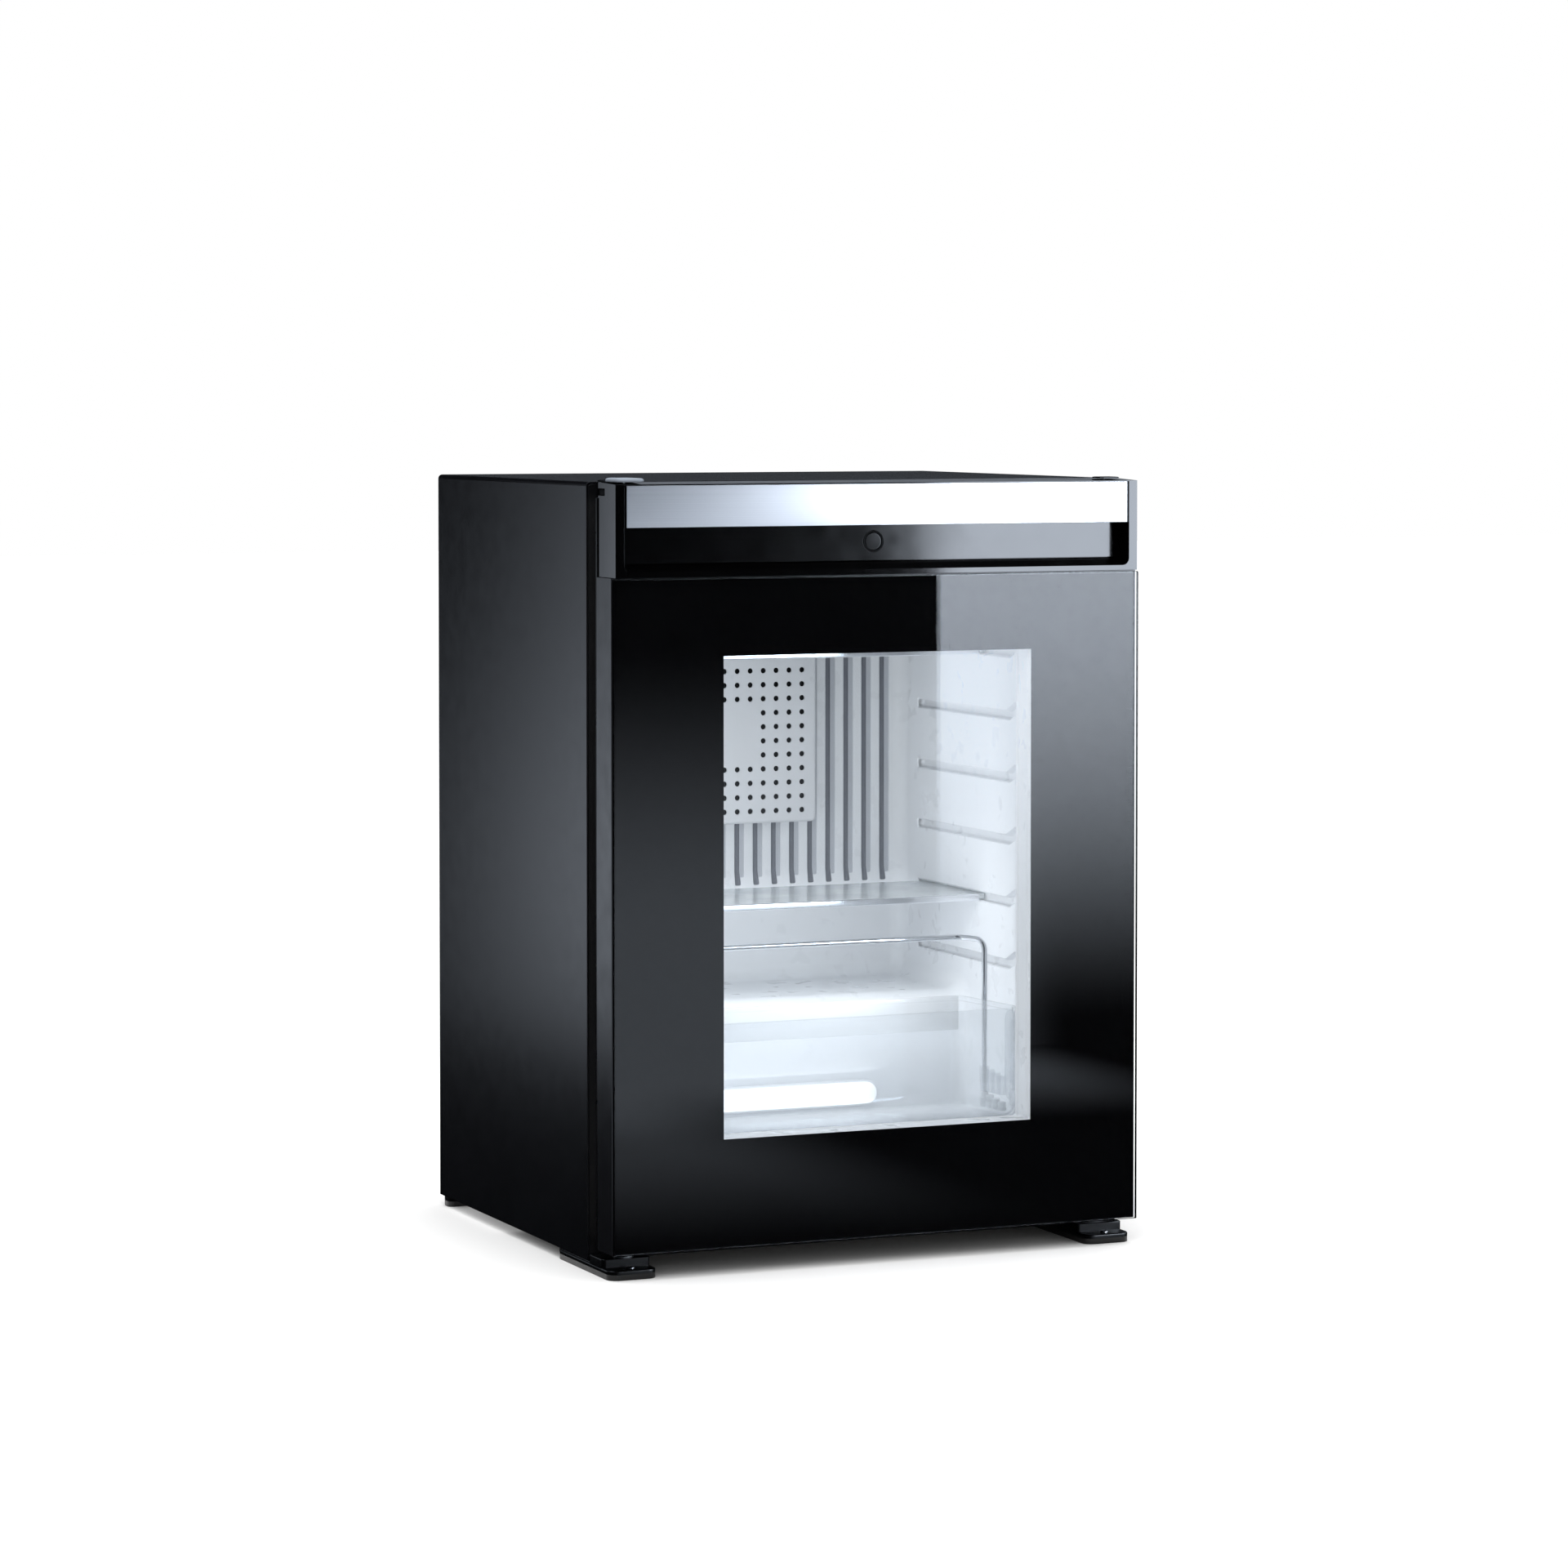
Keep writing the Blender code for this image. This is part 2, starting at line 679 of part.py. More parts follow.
def casing_section(name):
    """The room inside the outer wrap, with its round upper corners, all the way back."""
    room = [(-INSIDE_HALF, 0), (INSIDE_HALF, 0)]
    room += arc((INSIDE_HALF - CASING_RADIUS, INSIDE_ROOF - CASING_RADIUS), CASING_RADIUS, 0, 90, 3)
    room += arc((CASING_RADIUS - INSIDE_HALF, INSIDE_ROOF - CASING_RADIUS), CASING_RADIUS, 90, 180, 3)
    return prism(name, room, "Y", 0, TOTAL_DEPTH)


def pipe_bore(name):
    """The way of the cold pipe through the back."""
    past = 0.02
    return rod(name, "Y", (0, COVER_MIDDLE), COLD_PIPE_RADIUS + GAP, COLD_BACK - past, CABINET_BACK + past)


def cold_outline(front, grow):
    """The compartment from the side: a tall space with a step at the bottom of its back."""
    return [
        (front, COLD_FLOOR - grow), (STEP_FRONT + grow, COLD_FLOOR - grow),
        (STEP_FRONT + grow, STEP_TOP - grow), (COLD_BACK + grow, STEP_TOP - grow),
        (COLD_BACK + grow, COLD_ROOF + grow), (front, COLD_ROOF + grow),
    ]


def cold_block(name, front, grow):
    """A solid of the compartment, grown by a wall, with round edges."""
    block = prism(name, cold_outline(front, grow), "X", -COLD_HALF - grow, COLD_HALF + grow)
    return bevel(block, LINER_RADIUS + max(grow, 0.0), 3)


def rail_height(index):
    """The middle of a rail groove."""
    return RAIL_FIRST + index * RAIL_PITCH


def rail_pad(name, grow):
    """The thicker stretch of both side walls that holds the rail grooves."""
    half = COLD_HALF + RAIL_DEPTH + grow
    low = (-half, RAIL_FRONT - grow, rail_height(0) - RAIL_HEIGHT / 2 - grow)
    high = (half, RAIL_BACK + grow, rail_height(RAIL_COUNT - 1) + RAIL_HEIGHT / 2 + grow)
    return box(name, low, high)


def inner_liner(paint):
    """The white formed shell, with shelf grooves in its sides and fine flutes down its back."""
    past_front = 0.03
    liner = cold_block("inner_liner", CABINET_FRONT - past_front, LINER_WALL)
    join(liner, rail_pad("liner_pad", LINER_WALL))
    cut(liner, cold_block("liner_space", CABINET_FRONT - 2 * past_front, 0.0))
    for index in range(RAIL_COUNT):
        middle = rail_height(index)
        half = COLD_HALF + RAIL_DEPTH
        cut(liner, box("rail_groove", (-half, RAIL_FRONT, middle - RAIL_HEIGHT / 2),
                       (half, RAIL_BACK, middle + RAIL_HEIGHT / 2)))
    for index in range(GROOVE_COUNT):
        across = (index - (GROOVE_COUNT - 1) / 2) * GROOVE_PITCH
        cut(liner, box("flute", (across - GROOVE_WIDTH / 2, COLD_BACK - GROOVE_DEPTH, GROOVE_BOTTOM),
                       (across + GROOVE_WIDTH / 2, COLD_BACK + GROOVE_DEPTH, GROOVE_TOP)))
    trim_low = (-HALF, CABINET_FRONT - 3 * past_front, 0)
    cut(liner, box("liner_front", trim_low, (HALF, CABINET_FRONT, ROOF)), pipe_bore("liner_bore"))
    return dress(liner, paint["white"])


def insulation(paint):
    """The foam between the liner and the casing."""
    profile = [
        (FRAME_BACK + GAP, INSIDE_FLOOR), (RECESS_FRONT - SHEET - GAP, INSIDE_FLOOR),
        (RECESS_FRONT - SHEET - GAP, RECESS_TOP + SHEET + GAP),
        (CABINET_BACK - SHEET - GAP, RECESS_TOP + SHEET + GAP),
        (CABINET_BACK - SHEET - GAP, INSIDE_ROOF), (FRAME_BACK + GAP, INSIDE_ROOF),
    ]
    foam = prism("insulation_foam", profile, "X", -INSIDE_HALF, INSIDE_HALF)
    common(foam, casing_section("foam_section"))
    room = LINER_WALL + GAP
    cut(foam, cold_block("foam_space", 0.0, room), rail_pad("foam_pad", room), pipe_bore("foam_bore"))
    return dress(foam, paint["foam"])


def front_frame(paint):
    """The breaker frame that closes the foam at the front."""
    room = LINER_WALL + GAP
    outline = rounded(-INSIDE_HALF, CABINET_BOTTOM, INSIDE_HALF, INSIDE_ROOF, CASING_RADIUS, 3)
    hole = rounded(-COLD_HALF - room, COLD_FLOOR - room, COLD_HALF + room, COLD_ROOF + room,
                   LINER_RADIUS + room, 3)
    frame = prism("front_frame", outline, "Y", CABINET_FRONT, FRAME_BACK, holes=[hole])
    return dress(frame, paint["black"])


def cooling_cover(paint):
    """A perforated tray over the cooling plate, with a bare patch in the middle."""
    back = COLD_BACK - GAP
    cover = box("cooling_cover", (-COVER_HALF, COVER_FRONT, COVER_BOTTOM), (COVER_HALF, back, COVER_TOP))
    cut(cover, box("cover_room", (COVER_SHEET - COVER_HALF, COVER_FRONT + COVER_SHEET,
                                  COVER_BOTTOM + COVER_SHEET),
                   (COVER_HALF - COVER_SHEET, back + 0.01, COVER_TOP - COVER_SHEET)))
    work = bmesh.new()
    depth = 4 * COVER_SHEET
    for column, row in punched_holes():
        across = column * HOLE_PITCH
        up = COVER_BOTTOM + HOLE_FIRST_ROW + row * HOLE_PITCH
        frame = Matrix.Translation((across, COVER_FRONT + COVER_SHEET / 2, up))
        frame = frame @ Matrix.Rotation(math.pi / 2, 4, "X")
        bmesh.ops.create_cone(work, cap_ends=True, segments=HOLE_SIDES, radius1=HOLE_RADIUS,
                              radius2=HOLE_RADIUS, depth=depth, matrix=frame)
    punches = new_object("cover_holes", mesh_from(work, "cover_holes"))
    return dress(cut(cover, punches), paint["white"])


def punched_holes():
    """Column and row numbers of the holes; the columns count from the middle."""
    middle = HOLE_COLUMNS // 2
    for row in range(HOLE_ROWS):
        for column in range(-middle, middle + 1):
            bare = abs(column) <= BARE_COLUMNS and BARE_ROWS[0] <= row <= BARE_ROWS[1]
            if not bare:
                yield column, row


def cooling_plate(paint):
    """The finned plate that takes the heat, with its comb of fins seen from above."""
    half = COVER_HALF - COVER_SHEET - COLD_PLATE_MARGIN
    back = COLD_BACK - GAP
    face = back - COLD_PLATE_THICKNESS
    outline = [(-half, back), (half, back), (half, face)]
    for index in reversed(range(FIN_COUNT)):
        middle = -half + FIN_THICKNESS / 2 + index * (2 * half - FIN_THICKNESS) / (FIN_COUNT - 1)
        right, left = middle + FIN_THICKNESS / 2, middle - FIN_THICKNESS / 2
        outline += [(right, face), (right, face - FIN_DEPTH), (left, face - FIN_DEPTH), (left, face)]
    outline = [point for index, point in enumerate(outline) if index == 0 or point != outline[index - 1]]
    low = COVER_BOTTOM + COVER_SHEET + COLD_PLATE_MARGIN
    high = COVER_TOP - COVER_SHEET - COLD_PLATE_MARGIN
    return dress(prism("cooling_plate", outline, "Z", low, high), paint["aluminium"])


def cold_pipe(paint):
    """The pipe that carries the cold through the back wall to the plate."""
    pipe = rod("cold_pipe", "Y", (0, COVER_MIDDLE), COLD_PIPE_RADIUS, COLD_BACK,
               CABINET_BACK + COLD_PIPE_PROUD)
    return dress(pipe, paint["zinc"])


def interior_light(paint):
    """A long lamp with round ends on the front of the step."""
    middle = LIGHT_BOTTOM + LIGHT_HEIGHT / 2
    back = STEP_FRONT - GAP
    front = back - LIGHT_BASE_DEPTH
    for name, grow, near, far, colour in (
            ("light_base", LIGHT_RIM, front, back, "white"),
            ("light_lens", 0.0, front - GAP - LIGHT_LENS_DEPTH, front - GAP, "lamp")):
        reach, rise = LIGHT_HALF + grow, LIGHT_HEIGHT / 2 + grow
        outline = rounded(-reach, middle - rise, reach, middle + rise, rise * 0.98, 5)
        dress(prism(name, outline, "Y", near, far), paint[colour])


# Shelves

def shelf(name, index, axis, paint):
    """A pane held in a pair of grooves, with a steel trim along its front."""
    bottom = rail_height(index) - RAIL_HEIGHT / 2 + GAP
    top = bottom + SHELF_THICKNESS
    half = COLD_HALF + RAIL_DEPTH - SHELF_PLAY
    front = SHELF_FRONT + SHELF_TRIM_DEPTH + GAP
    pane = box(name + "_pane", (-half, front, bottom), (half, SHELF_BACK, top))
    dress(pane, paint["glass"], axis)
    trim_half = COLD_HALF - SHELF_PLAY
    trim = box(name + "_trim", (-trim_half, SHELF_FRONT, top - SHELF_TRIM_HEIGHT),
               (trim_half, SHELF_FRONT + SHELF_TRIM_DEPTH, top))
    dress(bevel(trim, 0.0005, 1), paint["steel"], axis)


# Door

def window(grow=0.0):
    """The window's outline, grown all round."""
    return (-WINDOW_HALF - grow, WINDOW_BOTTOM - grow, WINDOW_HALF + grow, WINDOW_TOP + grow)


def between(outline, front, back):
    """Corners of a box from an outline of left, bottom, right, top and two depths."""
    left, bottom, right, top = outline
    return (left, front, bottom), (right, back, top)


def panel_outline(grow=0.0):
    """The inner panel's outline on the back of the door."""
    return (-HALF + PANEL_LIP - grow, DOOR_BOTTOM + PANEL_LIP - grow,
            HALF - PANEL_LIP + grow, TRIM_FRONT_TOP - PANEL_TOP_LIP + grow)


def door_glass(axis, paint):
    """The clear front pane, the whole width of the door."""
    pane = box("door_glass", (-HALF, 0, DOOR_BOTTOM), (HALF, GLASS_THICKNESS, SEAM_BOTTOM))
    return dress(bevel(pane, 0.0005, 1), paint["glass"], axis)


def glass_mask(axis, paint):
    """The black print behind the front pane, with the window left clear."""
    edge = 0.001
    outline = rounded(-HALF + edge, DOOR_BOTTOM + edge, HALF - edge, SEAM_BOTTOM - edge, 0)
    front = GLASS_THICKNESS + GAP
    mask = prism("glass_mask", outline, "Y", front, front + MASK_THICKNESS,
                 holes=[rounded(*window(), 0)])
    return dress(mask, paint["mask"], axis)


def door_frame(axis, paint):
    """The rim of the door behind its glass, with the lower hinge's bore."""
    outline = rounded(-HALF, DOOR_BOTTOM, HALF, FRAME_TOP, 0)
    inner = rounded(-HALF + FRAME_LIMB, DOOR_BOTTOM + FRAME_LIMB, HALF - FRAME_LIMB,
                    FRAME_TOP - FRAME_LIMB, 0)
    frame = prism("door_frame", outline, "Y", FRAME_FRONT, DOOR_DEPTH, holes=[inner])
    seat = box("panel_seat", *between(panel_outline(GAP), PANEL_FRONT - GAP, DOOR_DEPTH + 0.01))
    bore = rod("lower_bore", "Z", (HINGE_X, HINGE_Y), HINGE_PIN_RADIUS + PIN_CLEARANCE,
               DOOR_BOTTOM - 0.01, DOOR_BOTTOM + HINGE_PIN_REACH + 0.001)
    return dress(cut(frame, seat, bore), paint["casing"], axis)


def inner_panel(axis, paint):
    """The white back of the door and the deep jamb around its window."""
    panel = box("inner_panel", *between(panel_outline(), PANEL_FRONT, DOOR_DEPTH))
    jamb = box("jamb", *between(window(JAMB_WALL), FRAME_FRONT, PANEL_FRONT + PANEL_THICKNESS / 2))
    join(panel, jamb)
    through = box("window_way", *between(window(), 0, DOOR_DEPTH + 0.01))
    rebate = box("pane_rebate", *between(window(PANE_LIP), DOOR_DEPTH - PANE_THICKNESS - 2 * GAP,
                                         DOOR_DEPTH + 0.01))
    hinge_room = rod("panel_bore", "Z", (HINGE_X, HINGE_Y), HINGE_PIN_RADIUS + PIN_CLEARANCE + 0.001,
                     DOOR_BOTTOM - 0.01, DOOR_BOTTOM + HINGE_PIN_REACH + 0.002)
    return dress(cut(panel, through, rebate, hinge_room), paint["white"], axis)


def rear_pane(axis, paint):
    """The inner pane, held in the panel's rebate."""
    back = DOOR_DEPTH - GAP
    pane = box("rear_pane", *between(window(PANE_LIP - GAP), back - PANE_THICKNESS, back))
    return dress(pane, paint["glass"], axis)


def door_insulation(axis, paint):
    """The foam between the door's rim and the jamb."""
    edge = FRAME_LIMB + GAP
    outline = rounded(-HALF + edge, DOOR_BOTTOM + edge, HALF - edge, FRAME_TOP - edge, 0)
    foam = prism("door_insulation", outline, "Y", FRAME_FRONT, PANEL_FRONT - GAP,
                 holes=[rounded(*window(JAMB_WALL + GAP), 0)])
    return dress(foam, paint["foam"], axis)


def gasket_ring(name, inset, width, radius, near, far):
    """A ring around the door's back, between two depths."""
    outer = rounded(-HALF + GASKET_OUTER_INSET + inset, GASKET_BOTTOM + inset,
                    HALF - GASKET_OUTER_INSET - inset, GASKET_TOP - inset, radius, 3)
    inside = inset + width
    inner = rounded(-HALF + GASKET_OUTER_INSET + inside, GASKET_BOTTOM + inside,
                    HALF - GASKET_OUTER_INSET - inside, GASKET_TOP - inside, max(radius - width, 0.002), 3)
    return prism(name, outer, "Y", near, far, holes=[inner])


def door_gasket(axis, paint):
    """The magnetic gasket, with the fold in its sides that lets it close."""
    front, back = DOOR_DEPTH + GAP, CABINET_FRONT - GAP
    fold_front, fold_back = front + GASKET_NECK_START, front + GASKET_NECK_END
    ring = gasket_ring("door_gasket", 0.0, GASKET_WIDTH, GASKET_RADIUS, front, back)
    reach = GASKET_NECK_DEPTH + GASKET_SPARE
    outer_fold = gasket_ring("outer_fold", -GASKET_SPARE, reach, GASKET_RADIUS + GASKET_SPARE,
                             fold_front, fold_back)
    inner_fold = gasket_ring("inner_fold", GASKET_WIDTH - GASKET_NECK_DEPTH, reach,
                             GASKET_SPARE, fold_front, fold_back)
    return dress(cut(ring, outer_fold, inner_fold), paint["rubber"], axis)


def top_trim(axis, paint):
    """The housing above the glass: recessed grip, strip rebate, hinge bore and side notch."""
    profile = [(0, TRIM_BOTTOM), (DOOR_DEPTH, TRIM_BOTTOM), (DOOR_DEPTH, ROOF), (0, TRIM_FRONT_TOP)]
    trim = prism("door_top_trim", profile, "X", -TRIM_HALF, TRIM_HALF)
    strip_half = HALF - STRIP_SIDE_INSET + GAP
    rebate = box("strip_rebate", (-strip_half, -0.01, STRIP_BOTTOM - 0.001),
                 (strip_half, STRIP_THICKNESS + GAP, STRIP_TOP + GAP))
    hook = box("finger_room", (-FINGER_HALF, -0.01, STRIP_BOTTOM - 0.003),
               (FINGER_HALF, GRIP_DEPTH - 0.002, STRIP_BOTTOM + FINGER_HEIGHT))
    seat = box("trim_panel_seat", *between(panel_outline(GAP), PANEL_FRONT - GAP, DOOR_DEPTH + 0.01))
    bore = rod("upper_bore", "Z", (HINGE_X, HINGE_Y), HINGE_PIN_RADIUS + PIN_CLEARANCE,
               ROOF - HINGE_PIN_REACH - 0.001, ROOF + 0.01)
    notch = box("side_notch", (-HALF - 0.01, NOTCH_FRONT, ROOF - NOTCH_DROP),
                (NOTCH_DEPTH - TRIM_HALF, DOOR_DEPTH + 0.01, ROOF - NOTCH_DROP + NOTCH_HEIGHT))
    front = bezel_front() + BEZEL_PROUD
    button_bore = rod("button_bore", "Y", (0, BUTTON_HEIGHT), BUTTON_RADIUS + BEZEL_WIDTH + 2 * GAP,
                      GRIP_DEPTH - BEZEL_DEPTH, front + BUTTON_DEPTH + BUTTON_TRAVEL + GAP, BUTTON_SIDES)
    cut(trim, grip_space("grip_space"), rebate, hook, seat, bore, notch, button_bore)
    return dress(trim, paint["black"], axis)


def grip_space(name):
    """The recess: a sloping floor seen from the side, round lower corners seen from the front."""
    slope = (GRIP_BACK_BOTTOM - GRIP_BOTTOM) / GRIP_DEPTH
    past = 0.01
    side_view = [(-past, GRIP_BOTTOM - past * slope), (GRIP_DEPTH, GRIP_BACK_BOTTOM),
                 (GRIP_DEPTH, STRIP_BOTTOM), (-past, STRIP_BOTTOM)]
    space = prism(name, side_view, "X", -HALF, HALF)
    left, right = -HALF + GRIP_SIDE_INSET, HALF - GRIP_SIDE_INSET
    front_view = [(left, STRIP_BOTTOM + past)]
    front_view += arc((left + GRIP_RADIUS, GRIP_BOTTOM + GRIP_RADIUS), GRIP_RADIUS, 180, 270, 4)
    front_view += arc((right - GRIP_RADIUS, GRIP_BOTTOM + GRIP_RADIUS), GRIP_RADIUS, 270, 360, 4)
    front_view += [(right, STRIP_BOTTOM + past)]
    common(space, prism(name + "_front", front_view, "Y", -2 * past, 2 * GRIP_DEPTH))
    return space


def grip_lip(axis, paint):
    """The bar behind the strip that the fingers hook over, hung from the housing above it."""
    bar = box("grip_lip", (GAP - FINGER_HALF, STRIP_THICKNESS + 2 * GAP, STRIP_BOTTOM),
              (FINGER_HALF - GAP, FINGER_LIP, STRIP_BOTTOM + FINGER_HEIGHT - GAP))
    return dress(bevel(bar, 0.0006, 1), paint["black"], axis)


def steel_strip(axis, paint):
    """The bare steel strip above the grip."""
    half = HALF - STRIP_SIDE_INSET
    strip = box("steel_strip", (-half, 0, STRIP_BOTTOM), (half, STRIP_THICKNESS, STRIP_TOP))
    return dress(strip, paint["steel"], axis)


def bezel_front():
    return GRIP_DEPTH - GAP - BACK_PLATE_THICKNESS - BEZEL_PROUD


def grip_back_plate(axis, paint):
    """The plate on the back of the recess, with the button's hole."""
    back = GRIP_DEPTH - GAP
    half = HALF - GRIP_SIDE_INSET - BACK_PLATE_INSET
    outline = rounded(-half, GRIP_BACK_BOTTOM + GAP, half, STRIP_BOTTOM - GAP, 0.002, 2)
    hole = circle(0, BUTTON_HEIGHT, BUTTON_RADIUS + BEZEL_WIDTH + 2 * GAP, BUTTON_SIDES)
    plate = prism("grip_back_plate", outline, "Y", back - BACK_PLATE_THICKNESS, back, holes=[hole])
    return dress(plate, paint["mask"], axis)


def button(axis, button_axis, paint):
    """A round push button and the ring around it."""
    front = bezel_front()
    outer = circle(0, BUTTON_HEIGHT, BUTTON_RADIUS + GAP + BEZEL_WIDTH, BUTTON_SIDES)
    inner = circle(0, BUTTON_HEIGHT, BUTTON_RADIUS + GAP, BUTTON_SIDES)
    ring = prism("button_bezel", outer, "Y", front, front + BEZEL_DEPTH, holes=[inner])
    dress(ring, paint["steel"], axis)
    near = front + BEZEL_PROUD
    cap = rod("grip_button", "Y", (0, BUTTON_HEIGHT), BUTTON_RADIUS, near, near + BUTTON_DEPTH,
              BUTTON_SIDES)
    dress(bevel(cap, 0.0004, 1), paint["black"], button_axis)


def hinge_plug(axis, paint):
    """The thin cover over the unused hinge place on the other side."""
    middle = HALF - HINGE_SIDE + PLUG_OFFSET
    bottom = ROOF + GAP
    plug = box("right_top_plug", (middle - PLUG_LENGTH / 2, PLUG_FRONT, bottom),
               (middle + PLUG_LENGTH / 2, PLUG_FRONT + PLUG_LENGTH, bottom + PLUG_HEIGHT))
    return dress(bevel(plug, 0.0004, 1), paint["black"], axis)


# Hinges

def upper_hinge(paint):
    """The grey bracket over the door, with a leg down the front of the cabinet and its pin."""
    left, right = -HALF + BRACKET_SIDES[0], -HALF + BRACKET_SIDES[1]
    bottom = ROOF + GAP
    top = bottom + BRACKET_THICKNESS + COVER_CAP_HEIGHT - GAP
    outline = rounded(left, BRACKET_FRONT, right, CABINET_FRONT - GAP, 0.005, 3)
    bracket = bevel(prism("upper_hinge_bracket", outline, "Z", bottom, top), 0.0009, 2)
    back = CABINET_FRONT - 2 * GAP
    leg = box("bracket_leg",
              (left + BRACKET_LEG_INSET, back - BRACKET_LEG_THICKNESS, bottom - BRACKET_LEG_HEIGHT),
              (right - BRACKET_LEG_INSET, back, bottom + BRACKET_THICKNESS / 2))
    join(bracket, leg)
    bore = rod("bracket_bore", "Z", (HINGE_X, HINGE_Y), HINGE_PIN_RADIUS + GAP, bottom - 0.01,
               bottom + BRACKET_THICKNESS * 0.8)
    dress(cut(bracket, bore), paint["grey"])
    pin = rod("upper_hinge_pin", "Z", (HINGE_X, HINGE_Y), HINGE_PIN_RADIUS, ROOF - HINGE_PIN_REACH,
              bottom + BRACKET_THICKNESS * 0.8 - GAP)
    dress(pin, paint["zinc"])


def lower_hinge(paint):
    """A pin with a broad collar, standing on the left foot and carrying the door."""
    bottom = FOOT_WALL_HEIGHT + GAP
    collar = DOOR_BOTTOM - GAP
    top = DOOR_BOTTOM + HINGE_PIN_REACH
    profile = [
        (0, top), (HINGE_PIN_RADIUS * 0.6, top), (HINGE_PIN_RADIUS, top - 0.001),
        (HINGE_PIN_RADIUS, collar), (HINGE_COLLAR_RADIUS - 0.0005, collar),
        (HINGE_COLLAR_RADIUS, collar - 0.0005), (HINGE_COLLAR_RADIUS, bottom), (0, bottom),
    ]
    pin = turned("lower_hinge_pin", profile, Matrix.Translation((HINGE_X, HINGE_Y, 0)))
    dress(pin, paint["zinc"])


# Bottle bin and guard

def bin_outline(inset):
    """The bin seen from above: narrow towards the shelves and flared near the door."""
    front, back = BIN_FRONT + inset, BIN_BACK - inset
    half = [(BIN_FRONT_HALF - inset, front), (BIN_WIDE_HALF - inset, BIN_WIDE_AT),
            (BIN_BACK_HALF - inset, back)]
    return half + [(-across, along) for across, along in reversed(half)]


def bottle_bin(axis, paint):
    """The clear bin, open at the top, with round lower and upright edges."""
    above = 0.03
    outer = bevel(prism("bottle_bin", bin_outline(0), "Z", BIN_BOTTOM, BIN_TOP + above), BIN_RADIUS, 2)
    inner = prism("bin_space", bin_outline(BIN_WALL), "Z", BIN_BOTTOM + BIN_WALL, BIN_TOP + 2 * above)
    bevel(inner, BIN_RADIUS - BIN_WALL, 2)
    lid = box("bin_lid", (-HALF, 0, BIN_TOP), (HALF, CABINET_BACK, ROOF))
    return dress(cut(outer, inner, lid), paint["clear"], axis)


def bin_strip(axis, paint):
    """The steel band across the bin's face towards the shelves."""
    near = BIN_BACK + GAP
    half = BIN_BACK_HALF - BIN_RADIUS * 0.5
    band = box("bin_strip", (-half, near, BIN_TOP - BIN_STRIP_HEIGHT),
               (half, near + BIN_STRIP_THICKNESS, BIN_TOP))
    return dress(band, paint["steel"], axis)


def side_name(side):
    return "left" if side < 0 else "right"


def bin_hooks(axis, paint):
    """The two clear cheeks that stand on the inner panel and hold the bin."""
    for side in (-1, 1):
        inner = BIN_WIDE_HALF + GAP
        outline = rounded(DOOR_DEPTH + GAP, HOOK_BOTTOM, HOOK_BACK, HOOK_TOP, 0.006, 3)
        low, high = sorted((side * inner, side * (inner + HOOK_THICKNESS)))
        hook = prism("bin_hook_" + side_name(side), outline, "X", low, high)
        dress(hook, paint["clear"], axis)


def socket_direction():
    """Along the bin's flared side, from the shelves towards the door."""
    start = Vector((BIN_BACK_HALF, BIN_BACK, 0))
    return (Vector((BIN_WIDE_HALF, BIN_WIDE_AT, 0)) - start).normalized()


def guard_leg_across():
    """How far out a leg stands, so that its socket's wall clears the bin's flared side."""
    along = socket_direction()
    side = BIN_BACK_HALF + (BIN_BACK - WIRE_LEG_Y) * along.x / -along.y
    return side + (GAP + SOCKET_WALL + SOCKET_CLEARANCE + WIRE_RADIUS) / -along.y


def socket_racks(axis, paint):
    """Four stepped sockets in a row on each side of the bin, for the guard's legs."""
    along = socket_direction()
    leg = Vector((guard_leg_across(), WIRE_LEG_Y, 0))
    bore_radius = WIRE_RADIUS + SOCKET_CLEARANCE
    half_width = bore_radius + SOCKET_WALL
    length = SOCKET_COUNT * SOCKET_PITCH
    start = -SOCKET_PITCH / 2
    stairs = [(start, SOCKET_BOTTOM), (start + length, SOCKET_BOTTOM)]
    for step in reversed(range(SOCKET_COUNT)):
        rise = SOCKET_TOP - step * SOCKET_STEP
        stairs += [(start + (step + 1) * SOCKET_PITCH, rise), (start + step * SOCKET_PITCH, rise)]
    for side in (-1, 1):
        forward = Vector((side * along.x, along.y, 0))
        sideways = forward.cross(Vector((0, 0, 1)))
        frame = Matrix((
            (forward.x, 0, sideways.x, side * leg.x), (forward.y, 0, sideways.y, leg.y),
            (0, 1, 0, 0), (0, 0, 0, 1)))
        rack = prism("guard_sockets_" + side_name(side), stairs, "W", -half_width, half_width, frame=frame)
        for step in range(SOCKET_COUNT):
            centre = leg + along * (step * SOCKET_PITCH)
            cut(rack, rod("socket_bore", "Z", (side * centre.x, centre.y), bore_radius,
                          SOCKET_BOTTOM + SOCKET_WALL, SOCKET_TOP + 0.01, 10))
        dress(rack, paint["clear"], axis)


def bottle_guard(axis, paint):
    """The chromed wire that keeps bottles in the bin."""
    leg_across = guard_leg_across()
    corners = [(0, WIRE_RUN_Y, WIRE_RUN_HEIGHT), (leg_across - WIRE_LEG_OUT, WIRE_RUN_Y, WIRE_RUN_HEIGHT),
               (leg_across, WIRE_LEG_Y, WIRE_RUN_HEIGHT), (leg_across, WIRE_LEG_Y, WIRE_LEG_BOTTOM)]
    half = smooth_path(corners, WIRE_BEND, 4)
    wire = tube("bottle_guard", mirrored(half) + half[1:], WIRE_RADIUS, 1)
    return dress(wire, paint["chrome"], axis)


# Feet

